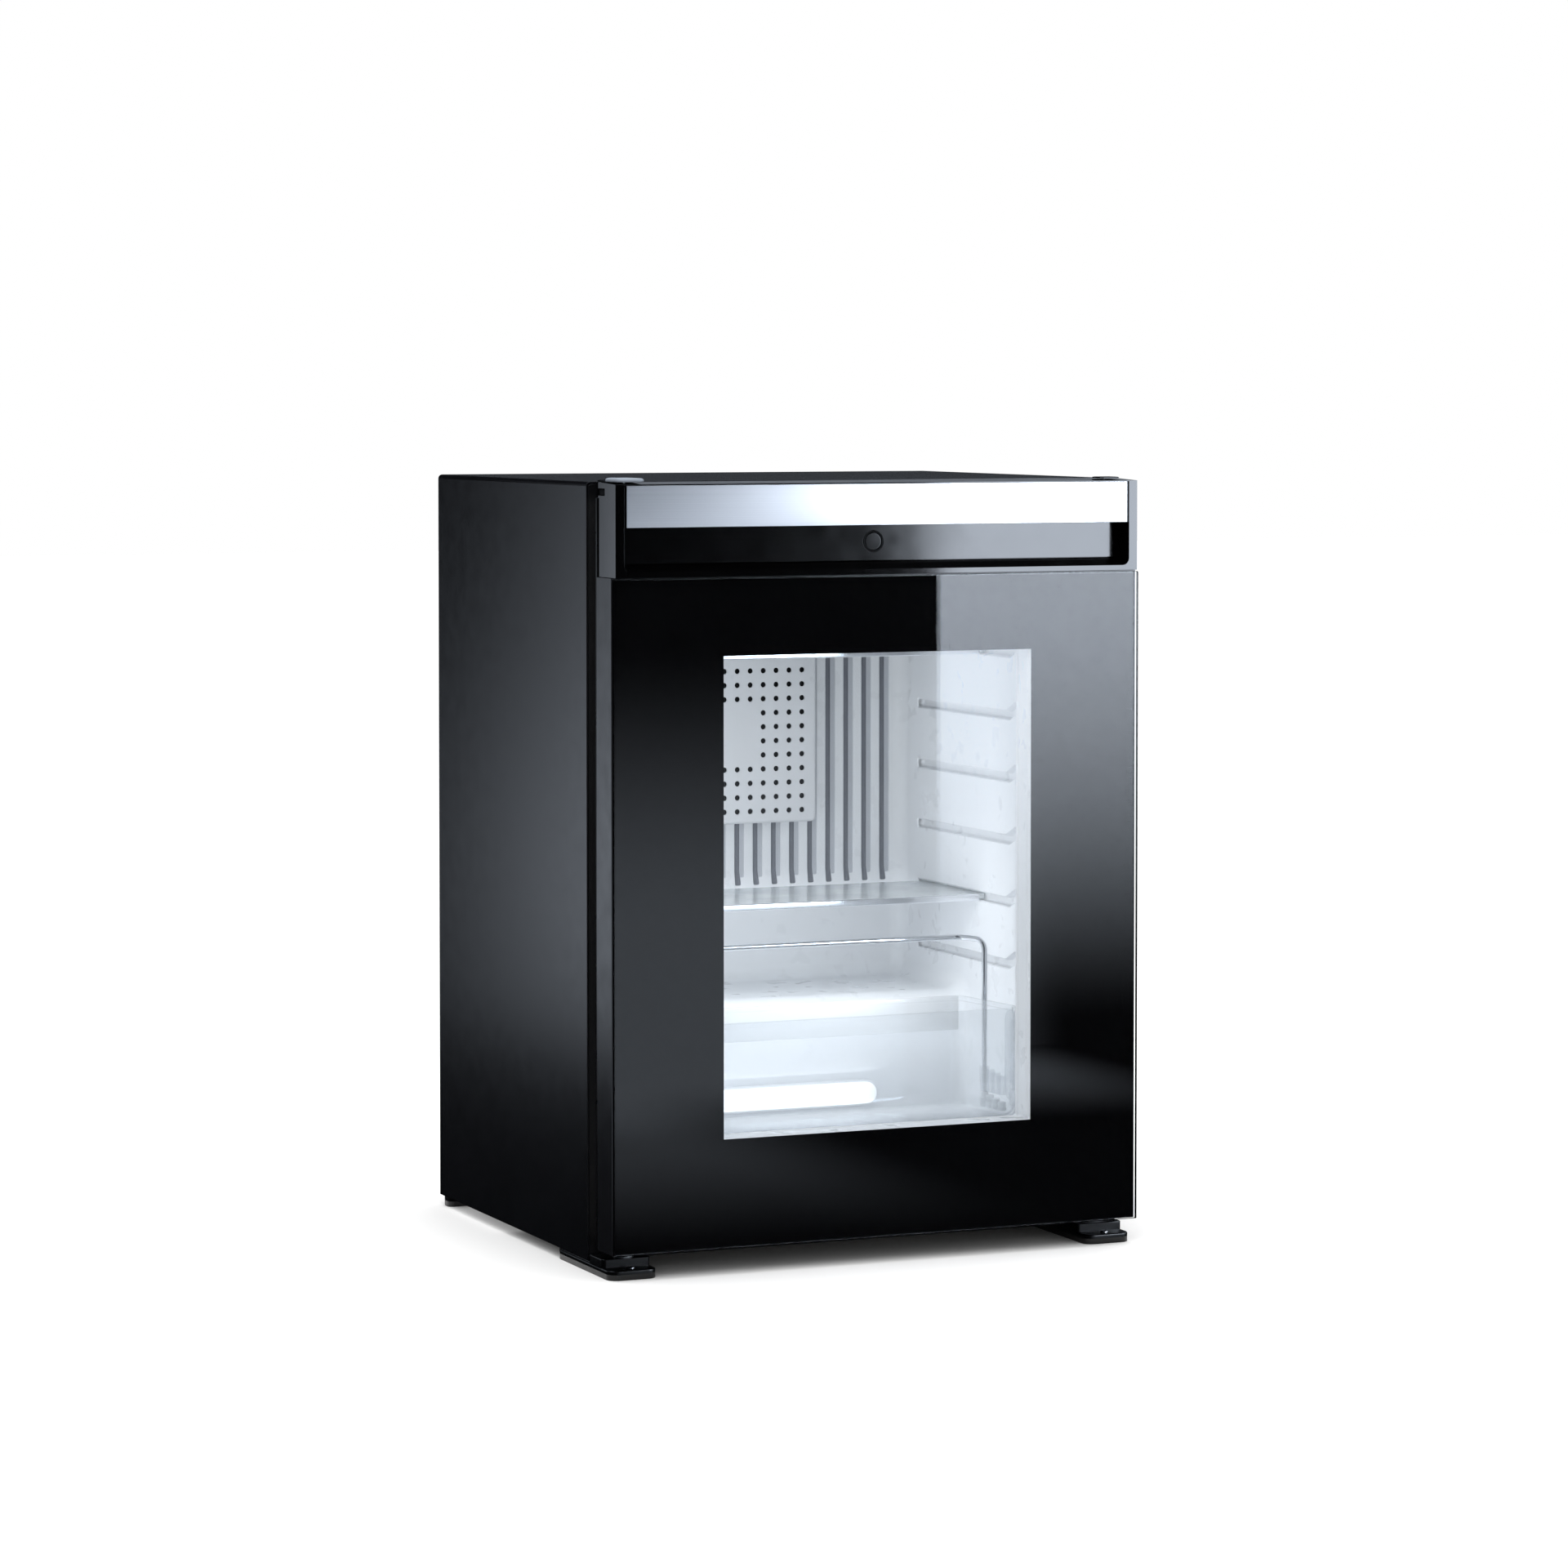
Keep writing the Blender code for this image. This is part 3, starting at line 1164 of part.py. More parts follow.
def front_feet(paint):
    """Feet with a low toe, a raised wall under the door and a long sole under the cabinet."""
    sole = CABINET_BOTTOM - GAP
    profile = [
        (FOOT_FRONT, 0), (FOOT_BACK, 0), (FOOT_BACK, sole), (FOOT_WALL_BACK, sole),
        (FOOT_WALL_BACK, FOOT_WALL_HEIGHT), (FOOT_TOE_BACK, FOOT_WALL_HEIGHT),
        (FOOT_TOE_BACK, FOOT_TOE_HEIGHT), (FOOT_FRONT, FOOT_TOE_HEIGHT),
    ]
    for side in (-1, 1):
        low, high = sorted((side * HALF, side * (HALF - FOOT_WIDTH)))
        name = "front_foot_" + side_name(side)
        foot = prism(name, profile, "X", low, high)
        plan = rounded(low, FOOT_FRONT, high, FOOT_BACK, FOOT_RADIUS, 4)
        common(foot, prism(name + "_plan", plan, "Z", -0.01, 0.05))
        dress(foot, paint["black"])


def foot_screws(paint):
    """One domed screw on each foot's toe."""
    across = HALF - FOOT_WIDTH / 2
    along = (FOOT_FRONT + FOOT_TOE_BACK) / 2
    height = FOOT_TOE_HEIGHT + GAP
    for side in (-1, 1):
        profile = [(0, 0.0012), (0.0015, 0.0010), (0.0025, 0.0005), (0.0028, 0), (0, 0)]
        screw = turned("foot_screw_" + side_name(side), profile,
                       Matrix.Translation((side * across, along, height)), 10)
        dress(screw, paint["zinc"])


def rear_feet(paint):
    """A bar across the open bottom of the recess and a foot under each of its ends."""
    back = CABINET_BACK - SHEET
    front = back - REAR_FOOT_DEPTH
    bar = box("rear_bar", (-INSIDE_HALF, front, CABINET_BOTTOM),
              (INSIDE_HALF, back, CABINET_BOTTOM + REAR_BAR_HEIGHT))
    end = INSIDE_HALF - REAR_BAR_END
    cut(bar, box("bar_room", (-end, front - 0.01, CABINET_BOTTOM + REAR_BAR_WALL),
                 (end, back - REAR_BAR_WALL, CABINET_BOTTOM + REAR_BAR_HEIGHT + 0.01)))
    dress(bar, paint["casing"])
    for side in (-1, 1):
        low, high = sorted((side * (HALF - REAR_FOOT_INSET), side * (HALF - FOOT_WIDTH)))
        outline = rounded(low, front, high, back, REAR_FOOT_RADIUS, 3)
        foot = prism("rear_foot_" + side_name(side), outline, "Z", 0, CABINET_BOTTOM - GAP)
        dress(foot, paint["black"])


# Cooling unit

def unit_plate(paint):
    """The plate that holds the cooling unit against the back and carries the cold pipe."""
    near = CABINET_BACK + GAP
    outline = rounded(-PLATE_HALF, PLATE_BOTTOM, PLATE_HALF, PLATE_BOTTOM + PLATE_HEIGHT, PLATE_RADIUS, 3)
    plate = prism("unit_plate", outline, "Y", near, near + PLATE_THICKNESS,
                  holes=[circle(0, COVER_MIDDLE, COLD_PIPE_RADIUS + GAP, 16)])
    return dress(plate, paint["zinc"])


def unit_brackets(paint):
    """Two upright channels that hold the tubes off the back."""
    for side in (-1, 1):
        near, far = CABINET_BACK + GAP, CABINET_BACK + UNIT_DEPTH
        inner, outer = UNIT_BRACKET_X - UNIT_BRACKET_WIDTH, UNIT_BRACKET_X
        wall = UNIT_BRACKET_WALL
        outline = [(inner, near), (outer, near), (outer, far), (inner, far), (inner, far - wall),
                   (outer - wall, far - wall), (outer - wall, near + wall), (inner, near + wall)]
        channel = prism("unit_bracket_" + side_name(side), [(side * x, y) for x, y in outline], "Z",
                        BOILER_BOTTOM, CONDENSER_HEIGHT + CONDENSER_FIN_HEIGHT / 2)
        dress(channel, paint["zinc"])


def absorber_coil(paint):
    """The absorber: one tube that winds to and fro as it climbs, held by the left bracket."""
    far_left = COIL_RADIUS + GAP + UNIT_BRACKET_WALL - UNIT_BRACKET_X
    corners = [(COIL_RIGHT, UNIT_CENTRE_Y, VESSEL_HEIGHT + VESSEL_RADIUS + GAP)]
    for run in range(COIL_RUNS):
        height = COIL_LOW + run * COIL_PITCH
        start, end = (COIL_RIGHT, far_left) if run % 2 == 0 else (far_left, COIL_RIGHT)
        corners += [(start, UNIT_CENTRE_Y, height), (end, UNIT_CENTRE_Y, height + COIL_PITCH * COIL_SLOPE)]
    path = smooth_path(corners, (COIL_PITCH * (1 - COIL_SLOPE) - COIL_STRAIGHT) / 2, 4)
    coil = tube("absorber_coil", path, COIL_RADIUS, 1)
    return dress(coil, paint["tube"])


def absorber_vessel(paint):
    """The tank under the absorber, with domed ends."""
    length = 2 * VESSEL_HALF
    dome = VESSEL_DOME
    profile = [(0, length / 2)]
    profile += [(VESSEL_RADIUS * math.sin(math.radians(angle)),
                 length / 2 - dome + dome * math.cos(math.radians(angle))) for angle in (30, 60, 90)]
    profile += [(VESSEL_RADIUS * math.sin(math.radians(angle)),
                 -length / 2 + dome - dome * math.cos(math.radians(angle))) for angle in (90, 60, 30)]
    profile += [(0, -length / 2)]
    tank = turned("absorber_vessel", profile, rod_frame("X", (UNIT_CENTRE_Y, VESSEL_HEIGHT)), 20)
    return dress(tank, paint["tube"])


def boiler_case(paint):
    """The insulated case around the boiler and its heater."""
    near = CABINET_BACK + BOILER_NEAR
    outline = rounded(BOILER_LEFT, near, UNIT_BRACKET_X - UNIT_BRACKET_WIDTH - BOILER_PLAY,
                      CABINET_BACK + UNIT_DEPTH - BOILER_FAR, BOILER_RADIUS, 4)
    case = prism("boiler_case", outline, "Z", BOILER_BOTTOM, BOILER_TOP)
    return dress(bevel(case, 0.003, 1), paint["zinc"])


def condenser(paint):
    """The condenser tube across the top, pressed through its row of cooling fins."""
    half = CONDENSER_HALF
    down = half - CONDENSER_DROP_INSET
    corners = [(-half, UNIT_CENTRE_Y, CONDENSER_HEIGHT), (down, UNIT_CENTRE_Y, CONDENSER_HEIGHT),
               (down, UNIT_CENTRE_Y, BOILER_TOP + GAP)]
    pipe = tube("condenser", smooth_path(corners, CONDENSER_BEND, 4), CONDENSER_RADIUS, 1)
    half_depth, half_height = CONDENSER_FIN_DEPTH / 2, CONDENSER_FIN_HEIGHT / 2
    work = bmesh.new()
    for index in range(CONDENSER_FINS):
        across = -half + CONDENSER_FIN_PITCH * (index + 0.5)
        place = Matrix.Translation((across, UNIT_CENTRE_Y, CONDENSER_HEIGHT))
        size = Matrix.Diagonal((CONDENSER_FIN_THICKNESS, 2 * half_depth, 2 * half_height, 1))
        bmesh.ops.create_cube(work, size=1.0, matrix=place @ size)
    fins = new_object("condenser_fins", mesh_from(work, "condenser_fins"))
    return dress(join(pipe, fins), paint["tube"])


def electrics(paint):
    """The box for the thermostat and terminals, with the cable's gland and no cable."""
    near = CABINET_BACK + GAP
    far = near + ELECTRICS_DEPTH
    case = box("electrics_box", (ELECTRICS_LEFT, near, ELECTRICS_BOTTOM),
               (ELECTRICS_LEFT + ELECTRICS_WIDTH, far, ELECTRICS_BOTTOM + ELECTRICS_HEIGHT))
    dress(bevel(case, 0.002, 1), paint["black"])
    tip, neck, flange = GLAND_RADII
    profile = [(0, GLAND_LENGTH), (tip, GLAND_LENGTH), (neck, GLAND_BASE), (flange, GLAND_BASE),
               (flange, 0), (0, 0)]
    middle = (ELECTRICS_LEFT + ELECTRICS_WIDTH / 2, far + GAP, ELECTRICS_BOTTOM + ELECTRICS_HEIGHT / 2)
    place = Matrix.Translation(middle) @ Matrix.Rotation(-math.pi / 2, 4, "X")
    dress(turned("cable_gland", profile, place, 12), paint["black"])


def build():
    paint = paints()
    for make in (outer_wrap, base_pan, rear_panel, inner_liner, insulation, front_frame, cooling_cover,
                 cooling_plate, cold_pipe, interior_light, upper_hinge, lower_hinge, front_feet,
                 foot_screws, rear_feet, unit_plate, unit_brackets, absorber_coil, absorber_vessel,
                 boiler_case, condenser, electrics):
        make(paint)
    for name, index in (("lower_shelf", LOWER_SHELF_RAIL), ("upper_shelf", UPPER_SHELF_RAIL)):
        slide = axis_empty(name + "_slide", (0, SHELF_FRONT, rail_height(index)), ROOT)
        shelf(name, index, slide, paint)
    door = axis_empty("door_hinge_axis", (HINGE_X, HINGE_Y, DOOR_BOTTOM), ROOT)
    for make in (door_glass, glass_mask, door_frame, inner_panel, rear_pane, door_insulation,
                 door_gasket, top_trim, grip_lip, steel_strip, grip_back_plate, hinge_plug, bottle_bin,
                 bin_strip, bin_hooks, socket_racks):
        make(door, paint)
    button(door, axis_empty("button_slide", (0, bezel_front(), BUTTON_HEIGHT), door), paint)
    bottle_guard(axis_empty("guard_lift", (0, WIRE_LEG_Y, WIRE_LEG_BOTTOM), door), paint)


for stale in list(bpy.data.objects):
    bpy.data.objects.remove(stale)
PARTS = collection("minibar_fridge")
CUTTERS = collection("cutters")
ROOT = bpy.data.objects.new("minibar_fridge_root", None)
PARTS.objects.link(ROOT)
build()
ROOT.location = (0, -TOTAL_DEPTH / 2, 0)
bpy.context.view_layer.update()
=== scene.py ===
"""Looks of a minibar fridge with a glass door: camera, studio, materials and detailed pieces.

All lengths are metres in the row frame: X to the right, Y to the back, Z up, floor at Z 0.
"""

import math

import bmesh
import bpy
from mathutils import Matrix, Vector

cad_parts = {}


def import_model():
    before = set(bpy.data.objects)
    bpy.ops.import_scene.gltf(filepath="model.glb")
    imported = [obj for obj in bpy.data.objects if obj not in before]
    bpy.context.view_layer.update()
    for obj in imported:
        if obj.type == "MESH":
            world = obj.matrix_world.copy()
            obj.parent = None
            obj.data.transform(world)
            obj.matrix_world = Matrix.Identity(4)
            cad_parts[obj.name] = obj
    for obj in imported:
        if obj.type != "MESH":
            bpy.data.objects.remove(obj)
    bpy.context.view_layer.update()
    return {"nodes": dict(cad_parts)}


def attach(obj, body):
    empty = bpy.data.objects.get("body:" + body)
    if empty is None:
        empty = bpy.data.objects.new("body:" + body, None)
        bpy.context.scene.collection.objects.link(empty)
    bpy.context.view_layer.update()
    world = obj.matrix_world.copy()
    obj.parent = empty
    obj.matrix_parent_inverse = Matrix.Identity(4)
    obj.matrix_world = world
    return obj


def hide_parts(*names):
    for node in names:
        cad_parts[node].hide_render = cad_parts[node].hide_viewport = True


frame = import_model()
NODES = frame["nodes"]

DOOR_FRONT = -0.227

# Node materials

PAINTS = {}


class Nodes:
    """Short ways to add nodes to a tree and to wire them."""

    def __init__(self, tree):
        self.tree = tree

    def feed(self, node, values):
        """Joins each input to the output given for it, or sets it to the value given."""
        for key, value in values.items():
            if isinstance(value, bpy.types.NodeSocket):
                self.tree.links.new(value, node.inputs[key])
            else:
                node.inputs[key].default_value = value

    def add(self, kind, values=None, **settings):
        node = self.tree.nodes.new("ShaderNode" + kind)
        for key, value in settings.items():
            setattr(node, key, value)
        self.feed(node, values or {})
        return node

    def maths(self, operation, first, second):
        node = self.add("Math", {0: first, 1: second}, operation=operation)
        return node.outputs["Value"]

    def spread(self, factor, low, high, start=0.3, end=0.7, **settings):
        """Low where the factor is at its start, high where it is at its end."""
        values = {"Value": factor, "From Min": start, "From Max": end,
                  "To Min": low, "To Max": high}
        return self.add("MapRange", values, **settings).outputs["Result"]


class Paint(Nodes):
    """A node material with one Principled shader, and the patterns that drive it."""

    def __init__(self, name, colour, roughness, metallic=0.0, specular=0.5):
        self.material = bpy.data.materials.new(name)
        self.material.use_nodes = True
        super().__init__(self.material.node_tree)
        self.tree.nodes.clear()
        self.output = self.add("OutputMaterial")
        self.skin = self.add("BsdfPrincipled", {
            "Base Color": (*colour, 1.0), "Roughness": roughness,
            "Metallic": metallic, "Specular IOR Level": specular})
        self.show(self.skin.outputs["BSDF"])
        PAINTS[name] = self.material

    def place(self, stretch=(1.0, 1.0, 1.0)):
        """The piece's own coordinates in metres, stretched along each axis."""
        own = self.add("TexCoord").outputs["Object"]
        return self.add("Mapping", {"Vector": own, "Scale": stretch}).outputs["Vector"]

    def noise(self, scale, detail=3.0, stretch=(1.0, 1.0, 1.0)):
        values = {"Vector": self.place(stretch), "Scale": scale, "Detail": detail}
        return self.add("TexNoise", values).outputs["Fac"]

    def cells(self, scale):
        values = {"Vector": self.place(), "Scale": scale}
        return self.add("TexVoronoi", values).outputs["Color"]

    def ramp(self, factor, low, high, start=0.3, end=0.7):
        node = self.add("ValToRGB", {"Fac": factor})
        for element, position, colour in zip(node.color_ramp.elements, (start, end), (low, high)):
            element.position = position
            element.color = (*colour, 1.0)
        return node.outputs["Color"]

    def tint(self, socket):
        self.feed(self.skin, {"Base Color": socket})

    def gloss(self, socket):
        self.feed(self.skin, {"Roughness": socket})

    def relief(self, height, distance, strength=1.0):
        values = {"Height": height, "Distance": distance, "Strength": strength}
        self.feed(self.skin, {"Normal": self.add("Bump", values).outputs["Normal"]})

    def clear(self, tint):
        """Lets light straight through, tinted."""
        return self.add("BsdfTransparent", {"Color": (*tint, 1.0)}).outputs["BSDF"]

    def blend(self, factor, first, second):
        return self.add("MixShader", {0: factor, 1: first, 2: second}).outputs["Shader"]

    def edge_on(self, power):
        """0 where the surface is seen square, rising to 1 where it is seen edge on."""
        weight = self.add("LayerWeight", {"Blend": 0.5})
        return self.maths("POWER", weight.outputs["Facing"], power)

    def coat(self, body, roughness, head_on, edge_on=1.0):
        """A mirror over a clear body, with its share seen square and its share seen edge on."""
        mirror = self.add("BsdfGlossy", {"Roughness": roughness})
        share = self.spread(self.edge_on(5.0), head_on, edge_on, 0.0, 1.0)
        self.show(self.blend(share, body, mirror.outputs["BSDF"]))

    def show(self, shader):
        self.feed(self.output, {"Surface": shader})


def moulded(name, colour, roughness, grain=1400.0, depth=0.00004, shade=0.12, specular=0.5):
    """Injection-moulded plastic: a fine eroded grain, faint flow clouds and uneven gloss."""
    paint = Paint(name, colour, roughness, specular=specular)
    darker = tuple(c * (1.0 - shade) for c in colour)
    lighter = tuple(min(1.0, c * (1.0 + shade)) for c in colour)
    paint.tint(paint.ramp(paint.noise(14.0, 4.0), darker, lighter))
    paint.gloss(paint.spread(paint.noise(60.0, 4.0), roughness * 0.85, roughness * 1.15))
    paint.relief(paint.noise(grain, 2.0), depth)


def brushed(name, colour, roughness, stretch, depth=0.00003, amount=0.12):
    """Brushed metal: long fine streaks in its gloss, tone and relief."""
    paint = Paint(name, colour, roughness, metallic=1.0)
    streaks = paint.noise(1.0, 5.0, stretch)
    low, high = 1.0 - amount, 1.0 + amount
    dark, light = (tuple(min(1.0, c * share) for c in colour) for share in (low, high))
    paint.tint(paint.ramp(streaks, dark, light))
    paint.gloss(paint.spread(streaks, roughness * low, roughness * high))
    paint.relief(streaks, depth, 0.5)


def pane(name, tint, head_on, haze=0.0, edge_on=1.0):
    """A clear sheet: it lets through what is behind it and mirrors more seen edge on."""
    paint = Paint(name, (0.9, 0.93, 0.95), 0.25)
    smear = paint.spread(paint.noise(9.0, 5.0), haze * 0.6, haze * 1.4)
    body = paint.blend(smear, paint.clear(tint), paint.skin.outputs["BSDF"])
    paint.coat(body, 0.015, head_on, edge_on)


def clear_moulding(name, tint, head_on, haze, edge_haze):
    """Clear moulded plastic: milky where it is seen edge on, with faint ripples in its gloss."""
    paint = Paint(name, (0.93, 0.95, 0.98), 0.3)
    milk = paint.spread(paint.edge_on(2.5), haze, edge_haze, 0.0, 1.0)
    body = paint.blend(milk, paint.clear(tint), paint.skin.outputs["BSDF"])
    paint.coat(body, paint.spread(paint.noise(120.0, 3.0), 0.03, 0.09), head_on)


GLASS_TINT = (0.985, 0.99, 0.99)
PRINT_BLACK = (0.0008, 0.0008, 0.001)
LAMP_COLOUR = (0.93, 0.96, 1.0, 1.0)
LAMP_GLOW = (1.25, 0.6)
LAMP_FADE = (0.066, 0.081)


def make_paints():
    steel = Paint("charcoal_steel", (0.004, 0.0043, 0.0056), 0.25)
    cloud = steel.noise(22.0, 6.0)
    steel.tint(steel.ramp(cloud, (0.0034, 0.0036, 0.0048), (0.0050, 0.0054, 0.0070)))
    steel.gloss(steel.spread(steel.noise(70.0, 5.0), 0.21, 0.25))
    steel.relief(steel.noise(1100.0, 3.0), 0.00002)

    moulded("door_rim", (0.006, 0.0063, 0.008), 0.22, 900.0, 0.00001)
    moulded("white_plastic", (0.815, 0.832, 0.86), 0.30, depth=0.000003, shade=0.02)
    moulded("cover_plastic", (0.60, 0.614, 0.641), 0.32, depth=0.000003, shade=0.02)
    moulded("foam", (0.72, 0.63, 0.38), 0.9, 500.0, 0.0004)
    moulded("black_plastic", (0.004, 0.0042, 0.005), 0.34, depth=0.000006)
    moulded("trim_plastic", PRINT_BLACK, 0.08, 500.0, 0.000004)
    moulded("grip_print", PRINT_BLACK, 0.12, 500.0, 0.000004)
    moulded("ring_print", (0.001, 0.001, 0.0012), 0.6, specular=0.1)
    # Painted shade: dark grey on the flute floors and mid grey on the shallow steps beside them,
    # standing in for the shade in these recesses.
    moulded("groove_painted_shade", (0.17, 0.18, 0.21), 0.5, shade=0.05)
    moulded("step_painted_shade", (0.50, 0.52, 0.56), 0.4, shade=0.05)
    moulded("rubber", (0.010, 0.0103, 0.012), 0.62, 700.0, specular=0.3)
    moulded("grey_plastic", (0.26, 0.295, 0.345), 0.5, 1100.0, specular=0.2)
    moulded("foot_plastic", (0.0012, 0.0013, 0.0016), 0.30, 900.0, 0.00002, specular=0.35)
    # Painted shade: near black on the cold plate behind the cover, so that the cover's holes read
    # dark.
    moulded("plate_painted_shade", (0.010, 0.0105, 0.012), 0.45, 900.0)
    clear_moulding("milky_plastic", (0.97, 0.98, 0.99), 0.035, 0.80, 1.0)
    clear_moulding("clear_plastic", (0.975, 0.98, 0.985), 0.035, 0.05, 0.55)
    pane("clear_glass", GLASS_TINT, 0.02, 0.0006)
    pane("inner_glass", GLASS_TINT, 0.002, 0.0006)
    pane("shelf_glass", (0.93, 0.96, 0.96), 0.02, 0.72, 0.45)
    brushed("brushed_steel", (0.60, 0.61, 0.63), 0.42, (3.0, 300.0, 6000.0), 0.00001, 0.06)
    brushed("polished_steel", (0.86, 0.87, 0.89), 0.20, (2.0, 300.0, 7000.0), 0.000002, 0.04)
    brushed("aluminium", (0.74, 0.76, 0.79), 0.34, (40.0, 300.0, 900.0))

    gloss = Paint("black_gloss", (0.0015, 0.0015, 0.002), 0.12, specular=0.0)
    gloss.gloss(gloss.spread(gloss.noise(40.0, 3.0), 0.10, 0.16))
    band = Paint("satin_steel", (0.93, 0.94, 0.955), 0.36, metallic=0.2)
    band.gloss(band.spread(band.noise(1.0, 4.0, (2.0, 300.0, 5000.0)), 0.30, 0.38))
    chrome = Paint("chrome_wire", (0.78, 0.79, 0.81), 0.08, metallic=1.0)
    chrome.gloss(chrome.spread(chrome.noise(90.0, 3.0), 0.05, 0.14))
    zinc = Paint("zinc_steel", (0.50, 0.51, 0.53), 0.36, metallic=1.0)
    spangle = zinc.cells(160.0)
    zinc.tint(zinc.ramp(spangle, (0.42, 0.43, 0.45), (0.58, 0.59, 0.60), 0.1, 0.9))
    zinc.gloss(zinc.spread(spangle, 0.28, 0.44, 0.0, 1.0))
    tube = Paint("black_tube", (0.012, 0.012, 0.013), 0.45)
    tube.gloss(tube.spread(tube.noise(80.0, 4.0), 0.38, 0.55))
    tube.relief(tube.noise(700.0, 3.0), 0.00008)

    lens = Paint("lamp_lens", (0.9, 0.92, 0.95), 0.4)
    along = lens.add("SeparateXYZ", {"Vector": lens.place()}).outputs["X"]
    glow = lens.spread(lens.maths("ABSOLUTE", along, 0.0), *LAMP_GLOW, *LAMP_FADE)
    lens.feed(lens.skin, {"Emission Color": LAMP_COLOUR, "Emission Strength": glow})
    lens.relief(lens.noise(1.0, 0.0, (900.0, 1.0, 1.0)), 0.0001)


# The cold plate takes the near-black painted shade.
SPECIAL_PAINTS = {
    "door_top_trim": "trim_plastic", "grip_lip": "trim_plastic", "grip_back_plate": "grip_print",
    "grip_button": "grip_print", "button_bezel": "ring_print", "rear_pane": "inner_glass",
    "cooling_plate": "plate_painted_shade", "lower_shelf_pane": "shelf_glass",
    "upper_shelf_pane": "shelf_glass",
}


def dress_solids():
    """Each solid gets the finish of its own slot or a special one, the front pane black edges."""
    for name, node in NODES.items():
        slot = node.data.materials[0].name.split(".")[0]
        node.data.materials[0] = PAINTS[SPECIAL_PAINTS.get(name, slot)]
    sheet = NODES["door_glass"]
    sheet.data.materials.append(PAINTS["black_gloss"])
    for face in sheet.data.polygons:
        if abs((sheet.matrix_world.to_3x3() @ face.normal).y) < 0.5:
            face.material_index = 1


WELD_REACH = 0.00001
EDGE_SEGMENTS = 3
EDGE_ANGLE = math.radians(40.0)
EDGE_RADII = {
    0.0002: ("grip_back_plate", "outer_wrap", "rear_panel"),
    0.0003: ("unit_bracket_left", "unit_bracket_right", "rear_bar", "grip_button"),
    0.00035: ("door_top_trim",),
    0.0004: ("door_frame", "unit_plate", "lower_shelf_pane", "upper_shelf_pane"),
    0.0006: ("rear_foot_left", "rear_foot_right", "front_frame"),
}


def soften_edges():
    """Fine round edges on the carried-over solids, so that they catch the light."""
    for radius, names in EDGE_RADII.items():
        for name in names:
            NODES[name].modifiers.new("weld", "WELD").merge_threshold = WELD_REACH
            edge = NODES[name].modifiers.new("edge", "BEVEL")
            edge.width = radius
            edge.segments = EDGE_SEGMENTS
            edge.limit_method = "ANGLE"
            edge.angle_limit = EDGE_ANGLE
            edge.harden_normals = True


# Places shared with the solids, with Y measured from the front of the closed door

SIDES = ((-1, "left"), (1, "right"))
HALF = 0.201
ROOF = 0.5486
CAP_TOP = 0.5517
DOOR_DEPTH = 0.0324
CABINET_FRONT = 0.052
CABINET_BACK = 0.3584
GAP = 0.0003
COLD_HALF = 0.160
COLD_BACK = 0.3145
COLD_FLOOR = 0.055
COLD_ROOF = 0.505
STEP_TOP = 0.163
STEP_FRONT = 0.200
LINER_WALL = 0.003
LINER_RADIUS = 0.014
RAIL_FIRST = 0.1894
RAIL_PITCH = 0.0459
RAIL_COUNT = 6
RAIL_RISE = 0.00275
COVER_MIDDLE = 0.3526
WINDOW = (-0.1181, 0.0938, 0.1181, 0.4287)
PANEL = (-0.198, 0.0213, 0.198, 0.5365)
PANEL_FRONT = 0.0293
FRAME_FRONT = 0.0051
STRIP_BOTTOM = 0.5179
STRIP_TOP = 0.5467
STRIP_SHEET = 0.0008


# Shapes

# The smallest radius of a rectangle's corners and of any other corner, and where the round tip
# of a tube has its rings, in degrees
SHARP_BOX = 0.00005
SHARP = 0.00002
TIP_TURNS = (12, 35, 62)


def arc(centre, radius, start, end, steps):
    """Points on an arc between two angles in degrees, both ends included."""
    turns = [math.radians(start + (end - start) * step / steps) for step in range(steps + 1)]
    return [(centre[0] + radius * math.cos(t), centre[1] + radius * math.sin(t)) for t in turns]


def grown(box, by):
    """A rectangle with its four sides moved out."""
    return box[0] - by, box[1] - by, box[2] + by, box[3] + by


def rounded(left, bottom, right, top, radius, steps=6):
    """A rectangle with round corners, anticlockwise from its lower left."""
    r = max(radius, SHARP_BOX)
    near, far, low, high = left + r, right - r, bottom + r, top - r
    turns = ((near, low), 180), ((far, low), 270), ((far, high), 0), ((near, high), 90)
    return [point for centre, start in turns for point in arc(centre, r, start, start + 90, steps)]


def plan(left, bottom, right, top, radius, steps=6):
    """The outline of a rounded rectangle for any inset."""
    def outline(inset=0.0):
        return rounded(*grown((left, bottom, right, top), -inset), radius - inset, steps)
    return outline


def disc(centre, radius, sides=32):
    """The outline of a circle for any inset."""
    def outline(inset=0.0):
        return arc(centre, max(radius - inset, SHARP), 0, 360 - 360 / sides, sides - 1)
    return outline


def round_corner(before, here, after, radius, steps):
    """The points of one corner rounded by a radius, flat or in space."""
    inward, outward = (before - here).normalized(), (after - here).normalized()
    half_angle = inward.angle(outward) / 2
    centre = here + (inward + outward).normalized() * radius / math.sin(half_angle)
    first, last = ((here + way * radius / math.tan(half_angle) - centre).normalized()
                   for way in (inward, outward))
    return [centre + first.slerp(last, step / steps) * radius for step in range(steps + 1)]


def fillet_polygon(points, radii, steps=6):
    """A closed flat outline with each corner rounded by its own radius."""
    corners = [Vector(point) for point in points]
    around = zip(corners[-1:] + corners, corners, corners[1:] + corners[:1], radii)
    return [tuple(point) for before, here, after, radius in around
            for point in round_corner(before, here, after, max(radius, SHARP), steps)]


